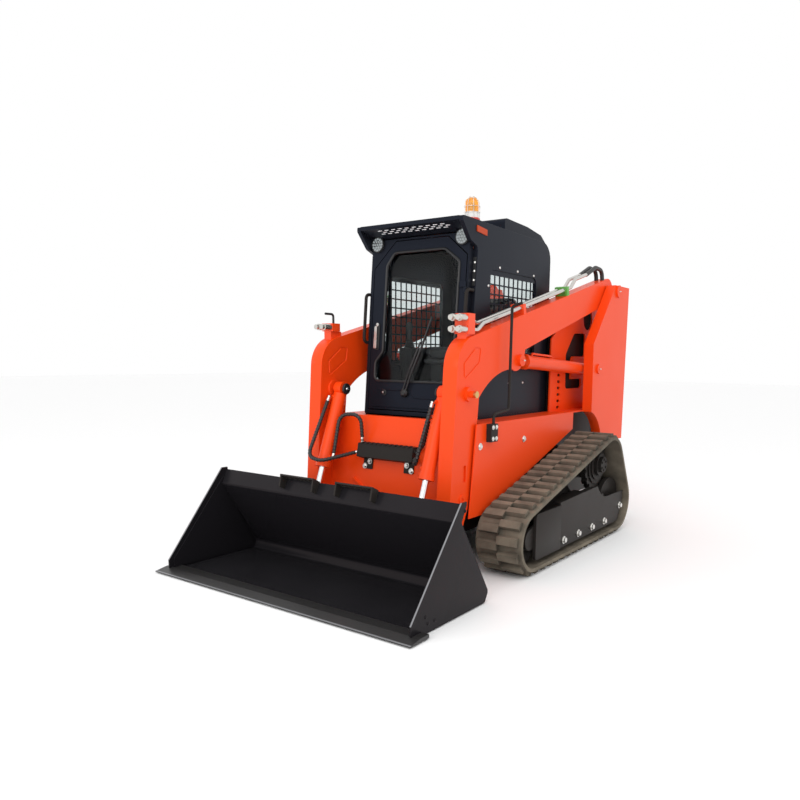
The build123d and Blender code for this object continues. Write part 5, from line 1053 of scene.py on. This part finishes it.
TILT_ROUTES = (
    ((-0.451, -0.704, 1.067), (-0.485, -0.880, 0.680), (-0.345, -0.905, 0.662), (-0.2253, -0.660, 0.712)),
    ((-0.208, -0.656, 0.7703), (-0.205, -0.676, 0.958), (-0.350, -0.716, 0.948), (-0.352, -0.786, 0.662)),
    ((0.389, -0.704, 1.067), (0.300, -0.765, 0.665), (0.2253, -0.664, 0.700)),
    ((0.352, -0.680, 0.985), (0.292, -0.665, 0.790), (0.2253, -0.648, 0.738)),
)
HOSE_BEND, HOSE_STEP, WRAP_RADIUS = 0.062, 0.002, 0.0112
BARE_STEPS, END_STEPS = 18, 6
CRIMP = (
    (0, 0), (0.0105, 0), (0.0114, 0.003), (0.0114, 0.010), (0.0108, 0.012), (0.0117, 0.014),
    (0.0117, 0.036), (0.0108, 0.038), (0, 0.038),
)
HOOK = ((-0.535, -0.568, 1.5395), (-0.535, -0.568, 1.601), (-0.535, -0.6435, 1.601))


class LOADER_OT_hoses(bpy.types.Operator):
    """Add the spiral wrap and the crimped ends of the boom's hoses, and the sleeve of the hook"""

    bl_idname = "loader.hoses"
    bl_label = "Hoses"

    def execute(self, context):
        p = parts()
        wraps, ends, ways = [], [], []
        for route in TILT_ROUTES:
            path = rounded(route, HOSE_BEND, HOSE_STEP)
            run = path[BARE_STEPS:-BARE_STEPS]
            wraps.append(tube(run, WRAP_RADIUS, 12, pitch=p.wrap_pitch, rise=p.wrap_rise))
            ends += [path[0], path[-1]]
            ways += [path[END_STEPS] - path[0], path[-1 - END_STEPS] - path[-1]]
        piece("hose_wraps", wraps, "hose", "boom")
        piece("hook_sleeve", tube(rounded(HOOK, 0.018, 0.004), 0.0078, 12), "seal", "boom")
        piece("hose_ends", lathe(CRIMP, np.array(ends), np.array(ways), 20), "zinc", "boom")
        return {"FINISHED"}


PIN_PLACE, PIN_CAP_X = (-0.623, 1.112), 0.379
PIN_CAP = ((0, 0.0002), (0.036, 0.0002), (0.036, 0.008), (0.031, 0.013), (0, 0.0135))
CAP_BOLT = ((0, 0.0136), (0.011, 0.0136), (0.009, 0.019), (0, 0.020))
PIN_STUB = ((0, 0), (0.0165, 0), (0.0165, 0.040), (0.0205, 0.041), (0.0205, 0.050), (0, 0.052))
NIPPLE = (
    (0, 0), (0.006, 0), (0.006, 0.005), (0.0035, 0.006),
    (0.0045, 0.010), (0.0025, 0.013), (0, 0.013),
)
TOWER_NIPPLES, EYE_NIPPLES = ((1.455, 1.862), (1.120, 1.250)), ((-0.003, 1.311),)


class LOADER_OT_pins(bpy.types.Operator):
    """Add the caps, grease nipples and stubs of the pins"""

    bl_idname = "loader.pins"
    bl_label = "Pins"

    def execute(self, context):
        at, inward = both_sides([(-PIN_CAP_X, *PIN_PLACE)])
        piece("pin_caps", lathe(PIN_CAP, at, inward, 32), "seal", "boom")
        piece("pin_cap_bolts", lathe(CAP_BOLT, at, inward, 18), "chrome", "boom")
        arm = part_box("arm_left")[1].x
        at, axis = both_sides([(arm + 0.006, *PIN_PLACE)])
        piece("pin_stubs", lathe(PIN_STUB, at, axis, 24), "brass", "boom")
        at, axis = both_sides(at_x(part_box("tower_outer_left")[1].x + 0.0142, TOWER_NIPPLES))
        piece("tower_nipples", lathe(NIPPLE, at, axis, 12), "zinc", "chassis")
        at, axis = both_sides(at_x(arm + 0.0242, EYE_NIPPLES))
        piece("eye_nipples", lathe(NIPPLE, at, axis, 12), "zinc", "boom")
        return {"FINISHED"}


# Cab inside

VOXEL, PRESSURE, CLOTH_FRAMES = 0.006, 4.0, 20


def bake(obj):
    """Applies every modifier of an object to its mesh."""
    graph = bpy.context.evaluated_depsgraph_get()
    mesh = bpy.data.meshes.new_from_object(obj.evaluated_get(graph))
    obj.modifiers.clear()
    obj.data = mesh


def swell(obj, limit):
    """Cloth with inner pressure, each point kept within the limit of its start, and the result applied."""
    remesh = obj.modifiers.new("Remesh", "REMESH")
    remesh.mode = "VOXEL"
    remesh.voxel_size = VOXEL
    bake(obj)
    start = places_of(obj.data)
    cloth = obj.modifiers.new("Cloth", "CLOTH")
    cloth.settings.use_pressure = True
    cloth.settings.uniform_pressure_force = PRESSURE
    cloth.settings.effector_weights.gravity = 0.0
    cloth.point_cache.frame_start, cloth.point_cache.frame_end = 1, CLOTH_FRAMES
    scene = bpy.context.scene
    for k in range(1, CLOTH_FRAMES + 1):
        scene.frame_set(k)
    bake(obj)
    scene.frame_set(1)
    move = (places_of(obj.data) - start).reshape(-1, 3)
    size = np.linalg.norm(move, axis=1, keepdims=True)
    move *= np.minimum(1.0, limit / np.maximum(size, 1e-9))
    obj.data.vertices.foreach_set("co", start + move.ravel())
    obj.data.update()


BACK_LEAN = 0.5 * math.atan2(0.075, 0.375)
PEDESTAL_LOW, PEDESTAL_HIGH = (-1, -1, 0.9605), (1, 2, 1.2885)


class LOADER_OT_seat(bpy.types.Operator):
    """Replace the seat by pedestal, shell and padded cushions"""

    bl_idname = "loader.seat"
    bl_label = "Seat"

    def execute(self, context):
        rise = parts().cushion_rise
        verts, faces = pillow((0, 0.25, 1.125), (0.190, 0.190, 0.163), power=0.12)
        base = (np.clip(verts, PEDESTAL_LOW, PEDESTAL_HIGH), faces)
        pedestal = piece("seat_pedestal", base, "plastic", "chassis")
        shell = [
            pillow((0, 0.235, 1.297), (0.225, 0.235, 0.018), power=0.2),
            pillow((0, 0.560, 1.570), (0.222, 0.020, 0.195), turn=-BACK_LEAN, power=0.2),
        ]
        piece("seat_shell", shell, "plastic", "chassis")
        pads = {
            "seat_cushion": pillow((0, 0.215, 1.350), (0.205, 0.205, 0.034)),
            "seat_backrest": pillow((0, 0.513, 1.585), (0.190, 0.030, 0.165), turn=-BACK_LEAN),
            "seat_bolster_left": pillow((0.196, 0.235, 1.368), (0.028, 0.185, 0.030)),
            "seat_bolster_right": pillow((-0.196, 0.235, 1.368), (0.028, 0.185, 0.030)),
        }
        for name, surface in pads.items():
            pad = piece(name, surface, "seat_vinyl", "chassis")
            swell(pad, rise * (0.4 if "bolster" in name else 0.7))
            pad.data.shade_smooth()
            smooth = pad.modifiers.new("Smooth", "SUBSURF")
            smooth.levels = smooth.render_levels = 1
        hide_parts("seat")
        return {"FINISHED"}


STICKS = np.array([(-0.317, -0.010, 1.390), (0.317, -0.010, 1.390)])
BOOT_LIFT, BOOT_HEIGHT = 0.0004, 0.060
GRIP = (
    (0, 0.0605), (0.0165, 0.0605), (0.0195, 0.075), (0.0175, 0.100), (0.0210, 0.125),
    (0.0240, 0.150), (0.0215, 0.172), (0.0120, 0.182), (0, 0.184),
)
KEYS = np.array([(-0.317, y, 1.3902) for y in (0.090, 0.140, 0.190, 0.240)])
KEY_CAP = ((0, 0), (0.013, 0), (0.012, 0.006), (0, 0.007))


class LOADER_OT_controls(bpy.types.Operator):
    """Add boots and grips to the joysticks, and the switches on the right console"""

    bl_idname = "loader.controls"
    bl_label = "Controls"

    def execute(self, context):
        z = np.linspace(0, 1, 17)
        boot = np.stack([0.042 - 0.024 * z + 0.003 * np.cos(8 * math.pi * z), BOOT_LIFT + BOOT_HEIGHT * z], 1)
        boot = np.concatenate([[(0, BOOT_LIFT)], boot, [(0, BOOT_LIFT + BOOT_HEIGHT)]])
        piece("stick_boots", lathe(boot, STICKS, UP, 24), "hose", "chassis")
        piece("stick_grips", lathe(GRIP, STICKS, UP, 24), "plastic", "chassis", levels=1)
        piece("console_keys", lathe(KEY_CAP, KEYS, UP, 20), "marker", "chassis")
        return {"FINISHED"}


# Rear and closing plates

LATCH = ((0, 0), (0.030, 0), (0.030, 0.006), (0.012, 0.008), (0.012, 0.020), (0, 0.021))
LATCH_PLACE = (-0.375, 0.86)
REAR_SCREWS = ((-0.36, 1.30), (0.36, 1.30), (-0.36, 0.445), (0.36, 0.445))
PLATE_THICK = 0.002
SHIELD_INSET = 0.0205
SHIELD = ((0.700, 0.935), (1.585, 0.935), (1.585, 1.760), (1.190, 1.760), (1.060, 1.555), (0.700, 1.555))
BULKHEAD_Y, BULKHEAD = 0.742, rectangle((-0.428, 0.900), (0.428, 1.575))
SKIRT_X, SKIRT = 0.416, rectangle((-0.380, 0.905), (0.724, 0.944))


class LOADER_OT_rear(bpy.types.Operator):
    """Add the engine door's latch and screws, the tower shields, the bulkhead and the cab skirts"""

    bl_idname = "loader.rear"
    bl_label = "Engine door"

    def execute(self, context):
        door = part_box("tail_lamps")[0].y + 0.0002
        spot = (LATCH_PLACE[0], door, LATCH_PLACE[1])
        piece("door_latch", lathe(LATCH, spot, BACK, 28), "seal", "engine_door")
        at = np.array([(x, door, z) for x, z in REAR_SCREWS])
        screws("rear_screws", at, BACK, REAR_SCREW, "engine_door")
        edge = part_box("tower_inner_left")[0].x - SHIELD_INSET
        shield = mirrored(slab(at_x(edge, SHIELD), OUT, PLATE_THICK))
        piece("tower_shields", shield, "frame_black", "chassis", flat=20)
        wall = slab([(x, BULKHEAD_Y, z) for x, z in BULKHEAD], BACK, PLATE_THICK)
        piece("bulkhead", wall, "frame_black", "chassis")
        skirt = mirrored(slab(at_x(SKIRT_X, SKIRT), OUT, PLATE_THICK))
        piece("cab_skirts", skirt, "cab_black", "chassis")
        return {"FINISHED"}


# Stage

FLOOR_HALF, FLOOR_LOW, FLOOR_THICK = 40, -0.02, 0.0195
KEY_PLACE, KEY_SIZE = (2.6, -3.4, 6.2), 4.5
FILL_PLACE, FILL_SIZE = (1.2, -7.5, 2.6), 5.0
AIM = Vector((0, 0, 0.9))
SENSOR = 36


class LOADER_OT_stage(bpy.types.Operator):
    """Set up the floor, the soft light and the camera"""

    bl_idname = "loader.stage"
    bl_label = "Stage"

    def execute(self, context):
        scene = context.scene
        s = scene.loader_stage
        square = rectangle((-FLOOR_HALF, -FLOOR_HALF), (FLOOR_HALF, FLOOR_HALF))
        verts, faces = slab([(x, y, FLOOR_LOW) for x, y in square], UP, FLOOR_THICK)
        mesh = bpy.data.meshes.new("floor")
        mesh.from_pydata(verts.tolist(), [], faces.tolist())
        floor = bpy.data.objects.new("floor", mesh)
        mesh.materials.append(shader("floor", s.floor, 0.9))
        scene.collection.objects.link(floor)
        self.world(scene, s)
        self.lamp("key", KEY_PLACE, KEY_SIZE, s.key)
        self.lamp("fill", FILL_PLACE, FILL_SIZE, s.fill)
        self.camera(scene, s)
        scene.view_settings.view_transform = "Standard"
        return {"FINISHED"}

    def world(self, scene, s):
        """White behind the loader, and a plain level of even light."""
        world = bpy.data.worlds.new("studio")
        world.use_nodes = True
        tree = world.node_tree
        even = tree.nodes["Background"]
        even.inputs["Color"].default_value = (1, 1, 1, 1)
        even.inputs["Strength"].default_value = s.sky
        kinds = ("Background", "MixShader", "LightPath")
        seen, mix, path = (tree.nodes.new("ShaderNode" + kind) for kind in kinds)
        seen.inputs["Color"].default_value = (1, 1, 1, 1)
        seen.inputs["Strength"].default_value = 1.0
        tree.links.new(path.outputs["Is Camera Ray"], mix.inputs["Fac"])
        tree.links.new(even.outputs[0], mix.inputs[1])
        tree.links.new(seen.outputs[0], mix.inputs[2])
        tree.links.new(mix.outputs[0], tree.nodes["World Output"].inputs["Surface"])
        scene.world = world

    def lamp(self, name, place, size, power):
        """Square soft light that looks at the loader's middle."""
        data = bpy.data.lights.new(name, "AREA")
        data.shape, data.size, data.energy = "SQUARE", size, power
        lamp = bpy.data.objects.new(name, data)
        lamp.location = place
        lamp.rotation_euler = (AIM - Vector(place)).to_track_quat("-Z", "Y").to_euler()
        bpy.context.scene.collection.objects.link(lamp)

    def camera(self, scene, s):
        """Camera at the photograph's place, direction and lens shift."""
        az, el, roll = s.azimuth, s.elevation, s.roll
        back = Vector((math.sin(az) * math.cos(el), -math.cos(az) * math.cos(el), math.sin(el)))
        right = (-back).cross(Vector(UP)).normalized()
        up = right.cross(-back)
        x = right * math.cos(roll) + up * math.sin(roll)
        y = up * math.cos(roll) - right * math.sin(roll)
        data = bpy.data.cameras.new("camera")
        data.sensor_width = SENSOR
        data.lens = s.lens * SENSOR
        data.shift_x, data.shift_y = s.shift
        camera = bpy.data.objects.new("camera", data)
        turn = Matrix((x, y, back)).transposed().to_4x4()
        camera.matrix_world = Matrix.Translation(s.place) @ turn
        scene.collection.objects.link(camera)
        scene.camera = camera


class LOADER_PT_panel(bpy.types.Panel):
    """Lists the steps and their settings in the sidebar"""

    bl_idname = "LOADER_PT_panel"
    bl_label = "Track Loader"
    bl_space_type = "VIEW_3D"
    bl_region_type = "UI"
    bl_category = "Loader"

    def draw(self, context):
        for step in STEPS:
            self.layout.operator(step.bl_idname)
        for group in (context.scene.loader_paint, context.scene.loader_parts, context.scene.loader_stage):
            box = self.layout.box()
            for name in group.__annotations__:
                box.prop(group, name)


GROUPS = {"loader_paint": LoaderPaint, "loader_parts": LoaderParts, "loader_stage": LoaderStage}
STEPS = (
    LOADER_OT_finish,
    LOADER_OT_bolts,
    LOADER_OT_beacon,
    LOADER_OT_lamps,
    LOADER_OT_door,
    LOADER_OT_windows,
    LOADER_OT_hoses,
    LOADER_OT_pins,
    LOADER_OT_seat,
    LOADER_OT_controls,
    LOADER_OT_rear,
    LOADER_OT_stage,
)


def register():
    """Registers the property groups, operators and panel."""
    for cls in (*GROUPS.values(), *STEPS, LOADER_PT_panel):
        bpy.utils.register_class(cls)
    for name, group in GROUPS.items():
        setattr(bpy.types.Scene, name, PointerProperty(type=group))


def unregister():
    """Removes what register added."""
    for name in GROUPS:
        delattr(bpy.types.Scene, name)
    for cls in reversed((*GROUPS.values(), *STEPS, LOADER_PT_panel)):
        bpy.utils.unregister_class(cls)


def main():
    """Registers the add-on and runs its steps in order."""
    register()
    for step in STEPS:
        group, name = step.bl_idname.split(".")
        getattr(getattr(bpy.ops, group), name)()


if __name__ == "__main__":
    main()
